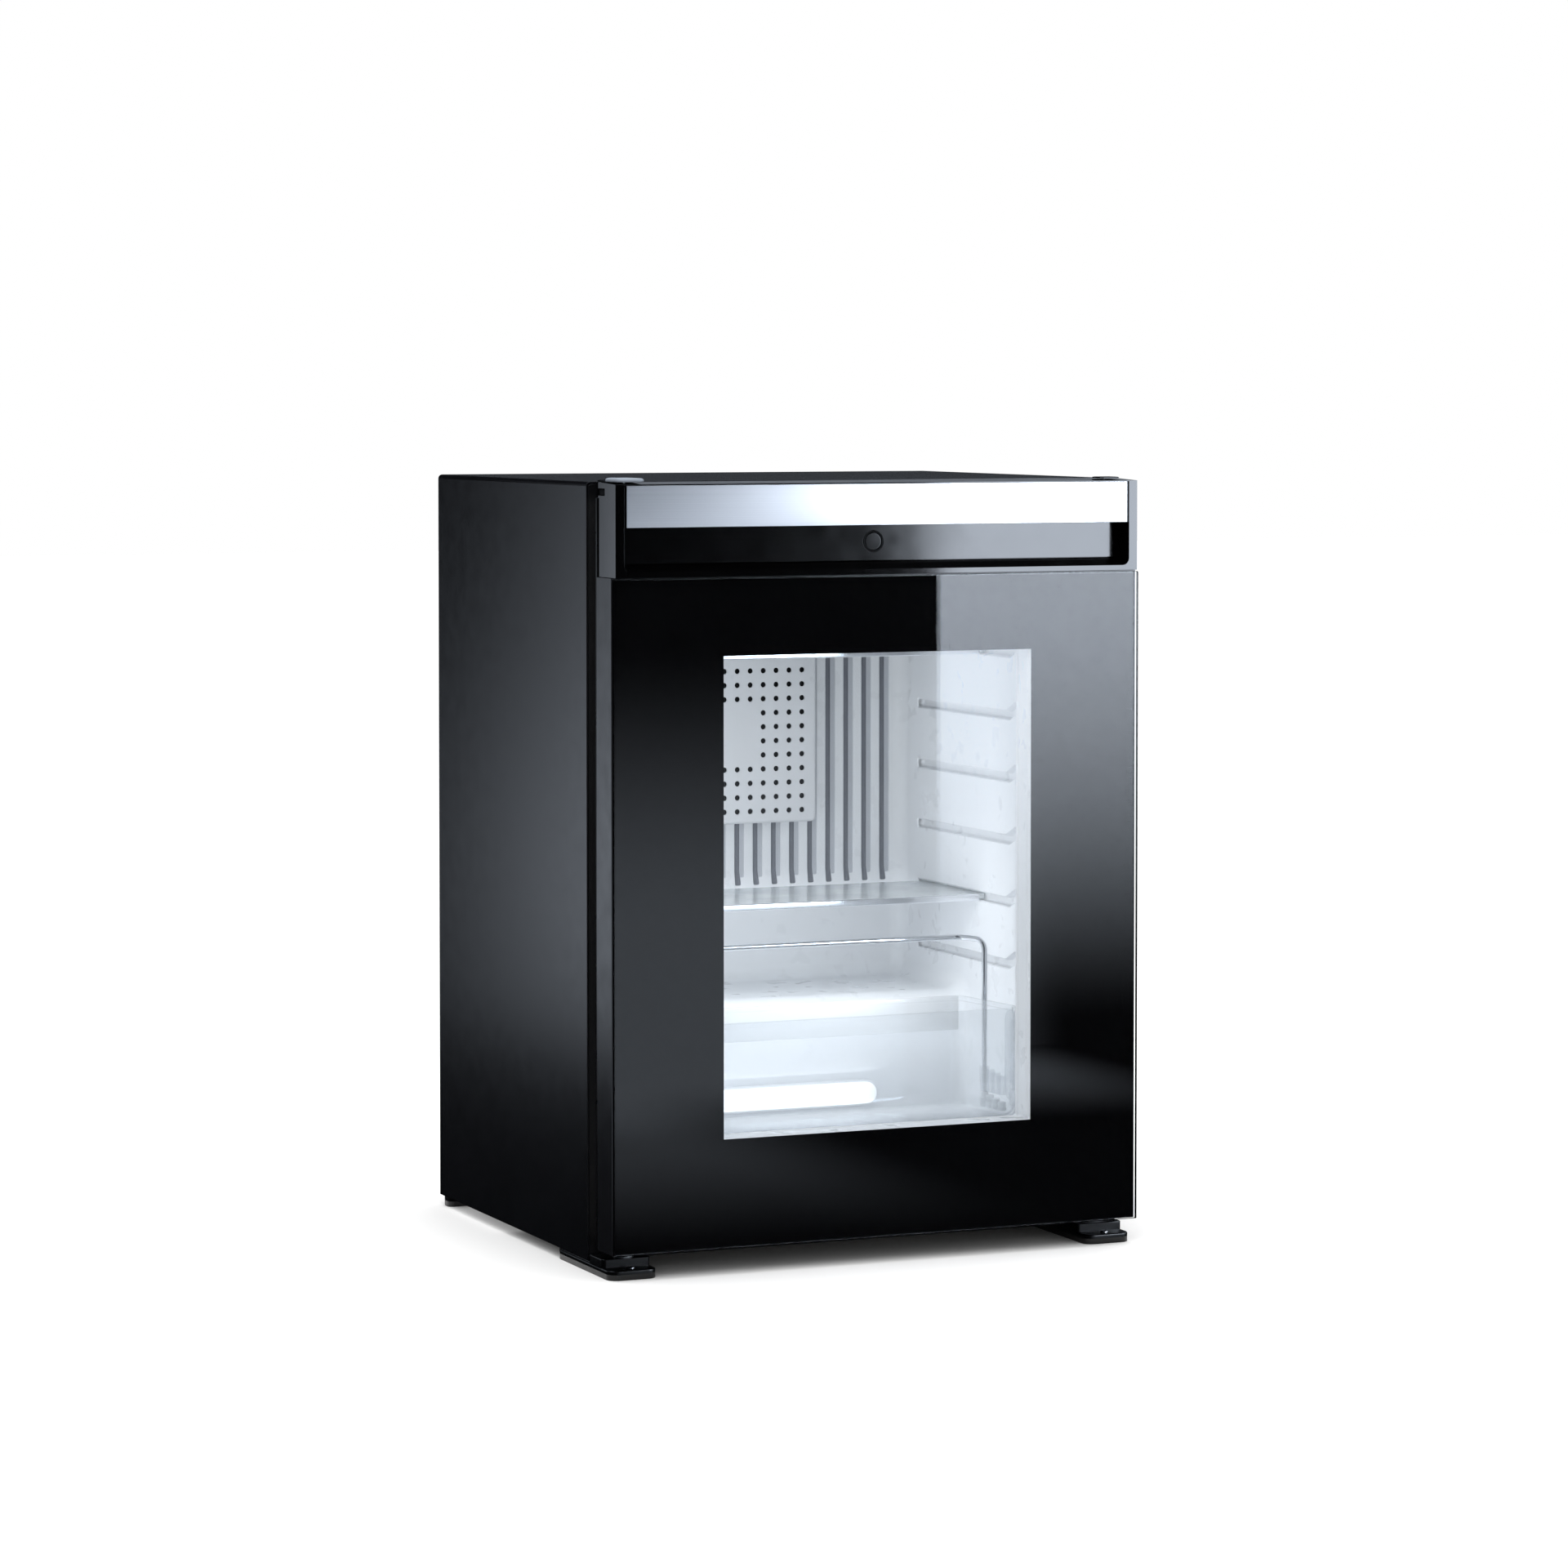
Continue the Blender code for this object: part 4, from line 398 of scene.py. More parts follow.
def smooth_path(corners, radius, steps=8):
    """A path through 3-D corners with each inner corner rounded."""
    corners = [Vector(corner) for corner in corners]
    path = [corners[0]]
    for before, here, after in zip(corners, corners[1:], corners[2:]):
        path += round_corner(before, here, after, radius, steps)
    return path + [corners[-1]]


def mirrored(points):
    """The same path on the other side, in reverse order."""
    return [Vector((-point[0], point[1], point[2])) for point in reversed(points)]


def quarter(steps):
    """A quarter turn: how far up and how far in, as shares of its radius."""
    turns = [math.pi / 2 * step / steps for step in range(steps + 1)]
    return [(1 - math.cos(turn), 1 - math.sin(turn)) for turn in turns]


def sides_of(low, high, round_low=0.0, round_high=0.0, steps=4):
    """Levels and insets up a block's side, with quarter-round lower and upper edges."""
    bend = quarter(steps)
    lower = bend if round_low else bend[-1:]
    upper = bend[::-1] if round_high else bend[-1:]
    return ([(low + round_low * up, round_low * side) for up, side in lower]
            + [(high - round_high * up, round_high * side) for up, side in upper])


def levels_at(base, path, side=1):
    """A path of levels and insets that starts from another level."""
    return [(base + side * level, inset) for level, inset in path]


def lift(outline, axis, level):
    """A flat outline as a loop in space, at a level along an axis."""
    order = {"X": (level, 0, 1), "Y": (0, level, 1), "Z": (0, 1, level)}[axis]
    return [tuple(point[o] if isinstance(o, int) else o for o in order) for point in outline]


def mirrors_of(side, low, high):
    """The two ends of a span along X, on the side asked for."""
    return sorted((side * low, side * high))


def linked(name, data):
    """A new object in the scene."""
    thing = bpy.data.objects.new(name, data)
    bpy.context.scene.collection.objects.link(thing)
    return thing


class Form:
    """A mesh being built from closed solids; Y is measured from the front of the closed door."""

    def __init__(self):
        self.work = bmesh.new()

    def loft(self, loops, around=False):
        """Skins loops of equal count, capped at both ends or joined all round."""
        rows = [[self.work.verts.new(point) for point in loop] for loop in loops]
        for low, high in list(zip(rows, rows[1:])) + ([(rows[-1], rows[0])] if around else []):
            for one in range(len(low)):
                two = (one + 1) % len(low)
                self.work.faces.new((low[one], low[two], high[two], high[one]))
        if not around:
            self.work.faces.new(list(reversed(rows[0])))
            self.work.faces.new(rows[-1])
        return self

    def rise(self, outline, axis, path, around=False):
        """Lofts an outline along a path of levels and insets."""
        return self.loft([lift(outline(inset), axis, level) for level, inset in path], around)

    def block(self, outline, axis, low, high, round_low=0.0, round_high=0.0, steps=4):
        """A solid of one outline with quarter-round end edges."""
        return self.rise(outline, axis, sides_of(low, high, round_low, round_high, steps))

    def bar(self, low, high, radius, axis="Z", steps=4):
        """A box with every edge rounded."""
        level = "XYZ".index(axis)
        one, two = (i for i in range(3) if i != level)
        outline = plan(low[one], low[two], high[one], high[two], radius * 1.01, steps)
        return self.block(outline, axis, low[level], high[level], radius, radius, steps)

    def turned(self, profile, centre, axis="Z", sides=32, base=0.0):
        """A turned solid: radius and level above the base along an axis, end to end."""
        return self.loft([lift(disc(centre, radius, sides)(), axis, base + level)
                          for radius, level in profile])

    def tube(self, points, radius, sides=12, tip=0.0):
        """A round bar along a path, with rounded ends where tip is set."""
        points = [Vector(point) for point in points]
        rims = [(point, radius) for point in points]
        if tip:
            turns = map(math.radians, TIP_TURNS)
            sizes = [(tip * math.cos(turn), radius * math.sin(turn)) for turn in turns]
            first = (points[0] - points[1]).normalized()
            last = (points[-1] - points[-2]).normalized()
            rims = [(points[0] + first * out, size) for out, size in sizes] + rims
            rims += [(points[-1] + last * out, size) for out, size in reversed(sizes)]
        spokes = disc((0.0, 0.0), 1.0, sides)()
        normal = None
        loops = []
        for index, (point, size) in enumerate(rims):
            before = rims[max(index - 1, 0)][0]
            after = rims[min(index + 1, len(rims) - 1)][0]
            ahead = (after - before).normalized()
            if normal is None:
                helper = Vector((0, 0, 1)) if abs(ahead.z) < 0.8 else Vector((1, 0, 0))
                normal = ahead.cross(helper).normalized()
            normal = (normal - ahead * normal.dot(ahead)).normalized()
            other = ahead.cross(normal)
            loops.append([point + (normal * x + other * y) * size for x, y in spokes])
        return self.loft(loops)

    def mesh(self, name, paint):
        bmesh.ops.recalc_face_normals(self.work, faces=self.work.faces)
        bmesh.ops.translate(self.work, vec=(0, DOOR_FRONT, 0), verts=self.work.verts)
        mesh = bpy.data.meshes.new(name)
        self.work.to_mesh(mesh)
        self.work.free()
        mesh.materials.append(PAINTS[paint])
        return mesh

    def cutter(self, name, paint):
        """An object that only cuts another."""
        return linked(name, self.mesh(name, paint))


def place(form, name, body, paint, *replaced, cuts=(), solver="MANIFOLD", smooth=38.0):
    """Makes the piece, cuts it, lays its finish on it and sets it on its body."""
    piece = linked(name, form.mesh(name, paint))
    for cutter in cuts:
        step = piece.modifiers.new(cutter.name, "BOOLEAN")
        step.operation = "DIFFERENCE"
        step.solver = solver
        step.use_self = solver == "EXACT"
        step.object = cutter
    if cuts:
        bpy.context.view_layer.update()
        shaped = piece.evaluated_get(bpy.context.evaluated_depsgraph_get())
        mesh = bpy.data.meshes.new_from_object(shaped)
        piece.modifiers.clear()
        piece.data = mesh
    for cutter in cuts:
        bpy.data.objects.remove(cutter)
    piece.data.shade_smooth()
    piece.data.set_sharp_from_angle(angle=math.radians(smooth))
    if replaced:
        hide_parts(*replaced)
    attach(piece, body)
    return piece


# Cold compartment

def compartment(grow, front, steps):
    """Loops across the width: the compartment's side view with its width's edges rounded."""
    side_view = [
        (front, COLD_FLOOR - grow), (STEP_FRONT + grow, COLD_FLOOR - grow),
        (STEP_FRONT + grow, STEP_TOP - grow), (COLD_BACK + grow, STEP_TOP - grow),
        (COLD_BACK + grow, COLD_ROOF + grow), (front, COLD_ROOF + grow),
    ]
    radius = LINER_RADIUS + grow

    def outline(inset):
        points = []
        for index, (y, z) in enumerate(side_view):
            y_in = 0.0 if index in (0, 5) else -inset
            points.append((y + y_in, z + (inset if index < 4 else -inset)))
        inner = max(radius - inset, 0.0005)
        return fillet_polygon(points, (0.0001, inner, radius + inset, inner, inner, 0.0001), steps)

    half = COLD_HALF + grow
    levels = sides_of(-half, half, radius, radius, steps)
    return Form().loft([lift(outline(inset), "X", level) for level, inset in levels])


FLUTE_COUNT = 20
FLUTE_PITCH = 0.0151
FLUTE_WIDTH = 0.0038
FLUTE_LOW = 0.2355
FLUTE_HIGH = 0.470
FLUTE_DEPTH = 0.0016
FLUTE_FLARE = 0.011
FLUTE_STEP = 0.0058
FLUTE_STEP_DEPTH = 0.0005
FLUTE_PATH = ((-0.0012, -0.0009), (-0.0002, -0.0006), (0.0004, -0.0001),
              (FLUTE_DEPTH * 0.8, 0.0003), (FLUTE_DEPTH, 0.0008))
FLUTE_STEP_PATH = ((-0.001, -0.0003), (0.0, -0.0002), (FLUTE_STEP_DEPTH, 0.0001))
FLUTES = [(index - (FLUTE_COUNT - 1) / 2) * FLUTE_PITCH for index in range(FLUTE_COUNT)]


def flutes():
    """Cutters of the fine upright flutes, soft-edged and with a lower end that bends aside."""
    form = Form()
    for middle in FLUTES:
        def outline(inset, x=middle):
            w = FLUTE_WIDTH / 2 - inset
            low, high = FLUTE_LOW + inset, FLUTE_HIGH - inset
            points = [(x - w, low + FLUTE_FLARE), (x - w + 0.0007, low), (x + w + 0.0014, low),
                      (x + w, low + FLUTE_FLARE), (x + w, high), (x - w, high)]
            end = max(w * 0.9, 0.0002)
            return fillet_polygon(points, (0.004, end * 0.6, end * 0.6, 0.004, end, end), 3)

        form.rise(outline, "Y", levels_at(COLD_BACK, FLUTE_PATH))
    # The cutter carries the painted shade of the flute floors.
    return form.cutter("flute_cuts", "groove_painted_shade")


def flute_steps():
    """Cutters of the shallow step along the right of each flute."""
    form = Form()
    for middle in FLUTES:
        step = plan(middle, FLUTE_LOW + 0.006, middle + FLUTE_STEP, FLUTE_HIGH, 0.0012, 3)
        form.rise(step, "Y", levels_at(COLD_BACK, FLUTE_STEP_PATH))
    # The cutter carries the painted shade of the shallow steps.
    return form.cutter("flute_steps", "step_painted_shade")


RAIL_NEAR = 0.115
RAIL_FAR = 0.285
RAIL_REACH = 0.0055
RAIL_PATH = ((-0.0015, -0.0014), (0.0001, -0.0011), (0.0009, -0.0002),
             (RAIL_REACH * 0.85, 0.0), (RAIL_REACH, 0.0007))


def rail_grooves():
    """Cutters of the shelf grooves, opening towards the door with a sweep upwards."""
    form = Form()
    near, far = RAIL_NEAR, RAIL_FAR
    for index in range(RAIL_COUNT):
        middle = RAIL_FIRST + index * RAIL_PITCH
        for side in (-1, 1):
            def outline(inset, low=middle - RAIL_RISE, high=middle + RAIL_RISE):
                points = [(near - 0.004 + inset, low + 0.006 + inset), (near + 0.010, low + inset),
                          (far - inset, low + inset), (far - inset, high - inset),
                          (near + 0.016, high - inset),
                          (near + 0.001 + inset, high + 0.007 - inset)]
                return fillet_polygon(points, (0.0015, 0.008, 0.002, 0.002, 0.008, 0.0015), 4)

            form.rise(outline, "X", levels_at(side * COLD_HALF, RAIL_PATH, side))
    return form.cutter("rail_cuts", "white_plastic")


BOSS_NEAR = (RAIL_NEAR - 0.008, 0.1822)
BOSS_FAR = (RAIL_FAR + 0.004, 0.4336)
BORE = ((0.0093, 0.28), (0.0093, 0.34))


def liner():
    """The formed white shell with soft corners, flutes and shelf grooves, with painted shade on the
    flute floors and steps.
    """
    shell = compartment(LINER_WALL, CABINET_FRONT, 8)
    for side in (-1, 1):
        low, high = mirrors_of(side, COLD_HALF + 0.001, COLD_HALF + RAIL_REACH + LINER_WALL)
        shell.bar((low, *BOSS_NEAR), (high, *BOSS_FAR), 0.0015, "Y")
    space = compartment(0.0, CABINET_FRONT - 0.02, 8).cutter("liner_space", "white_plastic")
    bore = Form().turned(BORE, (0, COVER_MIDDLE), "Y", 24).cutter("liner_bore", "white_plastic")
    cuts = space, rail_grooves(), flutes(), flute_steps(), bore
    piece = place(shell, "liner_shell", "cabinet", "white_plastic", "inner_liner", cuts=cuts)
    # Painted shade: the flute floors turn dark grey and the shallow steps mid grey.
    for paint in ("groove_painted_shade", "step_painted_shade"):
        piece.data.materials.append(PAINTS[paint])
    wall = COLD_BACK + DOOR_FRONT
    for face in piece.data.polygons:
        x, y, z = face.center
        in_flute = wall + 0.0003 < y < wall + FLUTE_DEPTH + 0.0001
        if in_flute and abs(x) < 0.150 and FLUTE_LOW - 0.003 < z < FLUTE_HIGH + 0.003:
            face.material_index = 1 if y > wall + FLUTE_STEP_DEPTH + 0.0001 else 2


COVER_HALF = 0.0755
COVER_LOW = 0.2851
COVER_HIGH = 0.4201
COVER_FRONT = 0.285
COVER_EDGE = 0.0024
COVER_SHEET = 0.001
HOLE_PITCH = 0.0106
HOLE_RADIUS = 0.00205
HOLE_FIRST_ROW = 0.0092
HOLE_PROFILE = ((0.0004, -0.0006), (0.00015, 0.0001), (0.0, 0.0003), (0.0, 0.002))


def cover():
    """The perforated tray over the cold plate, with a folded edge and round punched holes."""
    outline = plan(-COVER_HALF, COVER_LOW, COVER_HALF, COVER_HIGH, 0.004, 6)
    outside = sides_of(COVER_FRONT, COLD_BACK - GAP, COVER_EDGE, 0.0, 5)
    inside = [(level + COVER_SHEET * (level < COVER_FRONT + COVER_EDGE), inset + COVER_SHEET)
              for level, inset in outside]
    form = Form().rise(outline, "Y", outside + inside[::-1])
    holes = Form()
    profile = [(HOLE_RADIUS + wider, COVER_FRONT + deeper) for wider, deeper in HOLE_PROFILE]
    for row in range(12):
        for column in range(-6, 7):
            if abs(column) > 2 or not 4 <= row <= 7:
                height = COVER_LOW + HOLE_FIRST_ROW + row * HOLE_PITCH
                holes.turned(profile, (column * HOLE_PITCH, height), "Y", 16)
    cuts = (holes.cutter("cover_holes", "cover_plastic"),)
    place(form, "cover_tray", "cabinet", "cover_plastic", "cooling_cover", cuts=cuts, smooth=30.0)


LENS = (-0.085, 0.082, 0.085, 0.098)


def lamp_bar():
    """The long lamp on the step: a rim with a soft edge and a bulged lens."""
    back = STEP_FRONT - GAP
    rim = plan(*grown(LENS, 0.002), 0.0098, 10)
    base = Form().block(rim, "Y", back - 0.0025, back, 0.0012, 0.0)
    place(base, "lamp_rim", "cabinet", "white_plastic", "light_base")
    front = back - 0.0028
    lens = Form().block(plan(*LENS, 0.0079, 10), "Y", front - 0.004, front, 0.0032, 0.0, 6)
    place(lens, "lamp_lens_bar", "cabinet", "lamp_lens", "light_lens")


def shelf_trims():
    """The steel trims along the fronts of the shelves, with round front edges."""
    for name, index in (("lower_shelf", 1), ("upper_shelf", 5)):
        top = RAIL_FIRST + index * RAIL_PITCH - RAIL_RISE + GAP + 0.004
        section = [(0.174, top - 0.005), (0.176, top - 0.005), (0.176, top), (0.174, top)]
        loop = fillet_polygon(section, (0.0009, 0.0003, 0.0003, 0.0009), 5)
        half = COLD_HALF - 0.001
        form = Form().loft([lift(loop, "X", -half), lift(loop, "X", half)])
        place(form, name + "_nosing", name, "polished_steel", name + "_trim")


# Bottle bin

BIN_BACK = 0.120
BIN_FRONT = 0.0345
BIN_WIDE_AT = 0.050
BIN_HALVES = (0.1236, 0.128, 0.118)
BIN_BOTTOM = 0.089
BIN_TOP = 0.1696
BIN_WALL = 0.002
BIN_RADIUS = 0.012
BIN_FOOT = 0.010
BIN_RIM = ((-0.004, BIN_WALL), (-0.003, BIN_WALL + 0.0008), (-0.0008, BIN_WALL + 0.0008),
           (0.0, BIN_WALL + 0.0002), (0.0, 0.0006), (-0.0006, 0.0))


def bin_plan(inset):
    """The bin seen from above: narrow towards the shelves and flared near the door."""
    front, back = BIN_FRONT + inset, BIN_BACK - inset
    ahead, wide, behind = (half - inset for half in BIN_HALVES)
    points = [(ahead, front), (wide, BIN_WIDE_AT), (behind, back),
              (-behind, back), (-wide, BIN_WIDE_AT), (-ahead, front)]
    corner = max(BIN_RADIUS - inset, 0.0004)
    return fillet_polygon(points, (corner * 0.5, *[corner] * 4, corner * 0.5), 8)


def bin_shell():
    """The clear bin with round lower edges and a thickened rolled rim."""
    inner = BIN_FOOT - BIN_WALL
    bend = quarter(6)
    inside = [(BIN_BOTTOM + BIN_WALL + inner * up, BIN_WALL + inner * side) for up, side in bend]
    outside = [(BIN_BOTTOM + BIN_FOOT * up, BIN_FOOT * side) for up, side in reversed(bend)]
    rim = levels_at(BIN_TOP, BIN_RIM)
    form = Form().rise(bin_plan, "Z", inside + rim + outside)
    place(form, "bin_shell", "door", "clear_plastic", "bottle_bin")


def bin_band():
    """The steel band along the top of the bin's face towards the shelves, with eased edges."""
    half = BIN_HALVES[2] - 0.0015
    near = BIN_BACK + GAP
    low, high = (-half, near, BIN_TOP - 0.0255), (half, near + 0.0008, BIN_TOP)
    place(Form().bar(low, high, 0.0003, "X", 3), "bin_band", "door", "satin_steel", "bin_strip")


CHEEK = (0.0327, 0.0996, 0.068, 0.165)
CHEEK_BORDER = (0.0327, 0.1060, 0.060, 0.1590)
CHEEK_RIBS = ((0.0335, 0.0350), (0.0450, 0.0462), (0.0560, 0.0570))
CHEEK_OUTER = 0.1308


def bin_cheeks():
    """The two clear cheeks with a rolled edge, ribs and a milky foot on the inner panel."""
    for side, word in SIDES:
        sheet = plan(*CHEEK, 0.008, 8)
        form = Form().block(sheet, "X", *mirrors_of(side, 0.1283, CHEEK_OUTER), 0.0007, 0.0007)
        low, high = mirrors_of(side, 0.1296, CHEEK_OUTER)
        border = ((low, 0.0), (high, 0.0), (high, 0.0016), (low, 0.0016))
        form.rise(plan(*CHEEK_BORDER, 0.005, 6), "X", border, True)
        low, high = mirrors_of(side, 0.1272, 0.1290)
        for near, far in CHEEK_RIBS:
            form.bar((low, near, 0.1030), (high, far, 0.1600), 0.0004)
        held = "bin_hook_" + word
        place(form, "bin_cheek_" + word, "door", "clear_plastic", held)
        low, high = mirrors_of(side, 0.1276, 0.1312)
        foot = Form().bar((low, 0.0340, 0.0960), (high, 0.0600, 0.1080), 0.0016)
        place(foot, "cheek_foot_" + word, "door", "milky_plastic", held)


GUARD_AT = 0.095
GUARD_TOP = 0.2123
GUARD_FOOT = 0.1030
GUARD_RADIUS = 0.00205
SOCKET_PITCH = 0.0075
SOCKET_STEP = 0.0015
SOCKET_OFF = 0.0035


def guard_line():
    """Where a leg of the guard stands, and the direction of the row of sockets."""
    wide, behind = Vector((BIN_HALVES[1], BIN_WIDE_AT, 0)), Vector((BIN_HALVES[2], BIN_BACK, 0))
    along = (wide - behind).normalized()
    side = BIN_HALVES[2] + (BIN_BACK - GUARD_AT) * along.x / -along.y
    return along, side + (GAP + SOCKET_OFF) / -along.y


def sockets():
    """Stepped sockets beside the bin for the guard's legs: milky feet and clear tubes."""
    along, across = guard_line()
    for side, word in SIDES:
        form, bores, feet = Form(), Form(), Form()
        for step in range(4):
            shift = step * SOCKET_PITCH
            centre = (side * (across + along.x * shift), GUARD_AT + along.y * shift)
            top = 0.120 - step * SOCKET_STEP
            form.turned(((0.0024, 0.1018), (0.0033, 0.1022), (0.0034, 0.1030),
                         (0.0034, top - 0.0050), (0.00355, top - 0.0046),
                         (0.00355, top - 0.0006), (0.0031, top)), centre, "Z", 24)
            bores.turned(((0.0023, 0.1028), (0.0023, top - 0.001), (0.0027, top + 0.0005),
                          (0.0027, top + 0.01)), centre, "Z", 20)
            rim = 0.1016 - step * 0.0016
            feet.turned(((0.0030, 0.0905), (0.0034, 0.0911), (0.0034, rim - 0.0042),
                         (0.0029, rim - 0.0038), (0.0029, rim - 0.0005), (0.0025, rim)),
                        centre, "Z", 24)
        held = "guard_sockets_" + word
        place(form, "socket_row_" + word, "door", "clear_plastic", held,
              cuts=(bores.cutter("socket_bores", "clear_plastic"),), solver="EXACT")
        place(feet, "socket_feet_" + word, "door", "milky_plastic", held)


def guard():
    """The chromed wire that keeps bottles in the bin."""
    across = guard_line()[1]
    ahead = GUARD_AT + 0.024
    corners = [(0, ahead, GUARD_TOP), (across - 0.009, ahead, GUARD_TOP),
               (across, GUARD_AT, GUARD_TOP), (across, GUARD_AT, GUARD_FOOT)]
    half = smooth_path(corners, 0.008, 10)
    form = Form().tube(mirrored(half) + half[1:], GUARD_RADIUS, 20, tip=0.0012)
    place(form, "guard_wire", "guard", "chrome_wire", "bottle_guard")


# Door

LINING_PATH = (
    (0.020, DOOR_DEPTH), (0.0192, DOOR_DEPTH - 0.0005), (0.0176, DOOR_DEPTH - 0.0005),
    (0.0168, DOOR_DEPTH), (0.0018, DOOR_DEPTH), (0.0015, DOOR_DEPTH - 0.0003), (0.0015, 0.0290),
    (0.0, 0.0290), (0.0, 0.0262), (0.0005, 0.0259), (0.0005, 0.0236), (0.0, 0.0233),
    (0.0, 0.0112), (0.0005, 0.0109), (0.0005, 0.0087), (0.0, 0.0084),
    (0.0, FRAME_FRONT + 0.0006), (0.0004, FRAME_FRONT), (0.0025, FRAME_FRONT),
    (0.0025, PANEL_FRONT),
)


def door_lining():
    """The white back of the door with a pressed border, and the stepped jamb of its window."""
    back = DOOR_DEPTH
    loops = [lift(rounded(*grown(PANEL, -inset), 0.004), "Y", level) for inset, level in (
        (0.0, PANEL_FRONT), (0.0, back - 0.0008), (0.0003, back - 0.0002), (0.0009, back))]
    loops += [lift(rounded(*grown(WINDOW, grow), 0.0012 + grow), "Y", level)
              for grow, level in LINING_PATH]
    form = Form().loft(loops, True)
    place(form, "door_lining", "door", "white_plastic", "inner_panel", smooth=30.0)


GASKET_WIDTH = 0.015
GASKET_SIDE = (
    (0.0, 0.0006), (0.0, 0.10), (0.0012, 0.18), (0.0040, 0.30), (0.0040, 0.38), (0.0010, 0.47),
    (0.0004, 0.53), (0.0036, 0.62), (0.0036, 0.68), (0.0006, 0.78), (0.0, 0.86), (0.0, 1.0),
)


def gasket():
    """The magnetic gasket: a soft bellows between its two flat lips."""
    front, back = DOOR_DEPTH + GAP, CABINET_FRONT - GAP
    outline = plan(-HALF + 0.017, 0.024, HALF - 0.017, 0.532, 0.010, 8)
    outer = [(front + (back - front) * share, inset) for inset, share in GASKET_SIDE]
    inner = [(level, GASKET_WIDTH - inset) for level, inset in reversed(outer)]
    form = Form().rise(outline, "Y", outer + inner, True)
    place(form, "gasket_bellows", "door", "rubber", "door_gasket", smooth=50.0)


CAP_LOWER = ((0.0, 0.0002), (0.0003, 0.0), (0.0015, 0.0))
CAP_UPPER = ((-0.0008, 0.0003), (-0.0004, 0.0008), (-0.00015, 0.0017), (0.0, 0.0034))


def bracket():
    """The hinge: a grey moulded cap over a dark steel arm, and its leg down the cabinet's front."""
    bottom, top = ROOF + GAP, CAP_TOP
    cap = plan(-0.1957, 0.0052, -0.1755, 0.0325, 0.0042, 8)
    form = Form().rise(cap, "Z", levels_at(bottom, CAP_LOWER) + levels_at(top, CAP_UPPER))
    place(form, "hinge_cap", "cabinet", "grey_plastic", "upper_hinge_bracket", smooth=60.0)
    left, right = -HALF + 0.008, -HALF + 0.0265
    back = CABINET_FRONT - 2 * GAP
    sheet = plan(left, 0.012, right, back, 0.0012, 4)
    arm = Form().block(sheet, "Z", bottom, bottom + 0.001, 0.0, 0.0003)
    arm.bar((left, back - 0.0035, bottom - 0.012), (right, back, bottom + 0.0009), 0.0006)
    place(arm, "hinge_arm", "cabinet", "foot_plastic", "upper_hinge_bracket")


def strip():
    """The bare steel strip over the grip, with eased edges."""
    half = HALF - 0.0095
    low, high = (-half, 0.0, STRIP_BOTTOM), (half, STRIP_SHEET, STRIP_TOP)
    form = Form().bar(low, high, 0.00022, "X", 3)
    place(form, "strip_plate", "door", "brushed_steel", "steel_strip")


def door_edges():
    """The rim's rear lips down both sides, and the soft black insert in the trim's side notch."""
    for side, word in SIDES:
        low, high = mirrors_of(side, HALF - 0.0030, HALF - 0.0005)
        near, far = (low, DOOR_DEPTH, 0.0192), (high, DOOR_DEPTH + 0.0036, 0.5380)
        place(Form().bar(near, far, 0.0005), "rim_lip_" + word, "door", "foot_plastic")
    insert = Form().bar((-0.1990, 0.0203, 0.5396), (-0.1938, 0.0322, 0.5443), 0.0008)
    place(insert, "notch_insert", "door", "ring_print")


def plug():
    """The crowned cover over the unused hinge place."""
    middle = HALF - 0.015
    bottom = ROOF + GAP
    outline = plan(middle - 0.008, 0.015, middle + 0.008, 0.031, 0.003, 8)
    path = ((0.0, 0.0), (0.0004, 0.0), (0.0007, 0.0003), (0.0009, 0.0010), (0.0010, 0.0022))
    form = Form().rise(outline, "Z", levels_at(bottom, path))
    place(form, "hinge_plug", "door", "trim_plastic", "right_top_plug", smooth=50.0)


# Feet

SOLE_LEVELS = (0.0, 0.0068)
STEP_LEVELS = (0.005, 0.0077)
WALL_LEVELS = (0.002, 0.0129)
FOOT_SCREW = ((0.0028, 0.0), (0.0028, 0.0003), (0.0026, 0.0007), (0.0020, 0.0010),
              (0.0010, 0.0012))


def feet():
    """Front feet: a low round toe, a raised wall under the door, a long sole and a screw each."""
    for side, word in SIDES:
        low, high = mirrors_of(side, HALF - 0.036, HALF)
        sole = plan(low, 0.009, high, 0.112, 0.0075, 10)
        step = plan(low + 0.0002, 0.040, high - 0.0002, 0.1118, 0.006, 8)
        wall = plan(low + 0.0001, 0.0235, high - 0.0001, 0.050, 0.003, 6)
        form = Form().block(sole, "Z", *SOLE_LEVELS, 0.0004, 0.0011)
        form.block(step, "Z", *STEP_LEVELS, 0.0, 0.0004)
        form.block(wall, "Z", *WALL_LEVELS, 0.0, 0.0008)
        place(form, "foot_front_" + word, "cabinet", "foot_plastic", "front_foot_" + word)
        screw_at = (side * (HALF - 0.018), 0.01625)
        head = Form().turned(FOOT_SCREW, screw_at, "Z", 24, 0.0071)
        place(head, "foot_pan_screw_" + word, "cabinet", "zinc_steel", "foot_screw_" + word)


# Cooling unit on the back

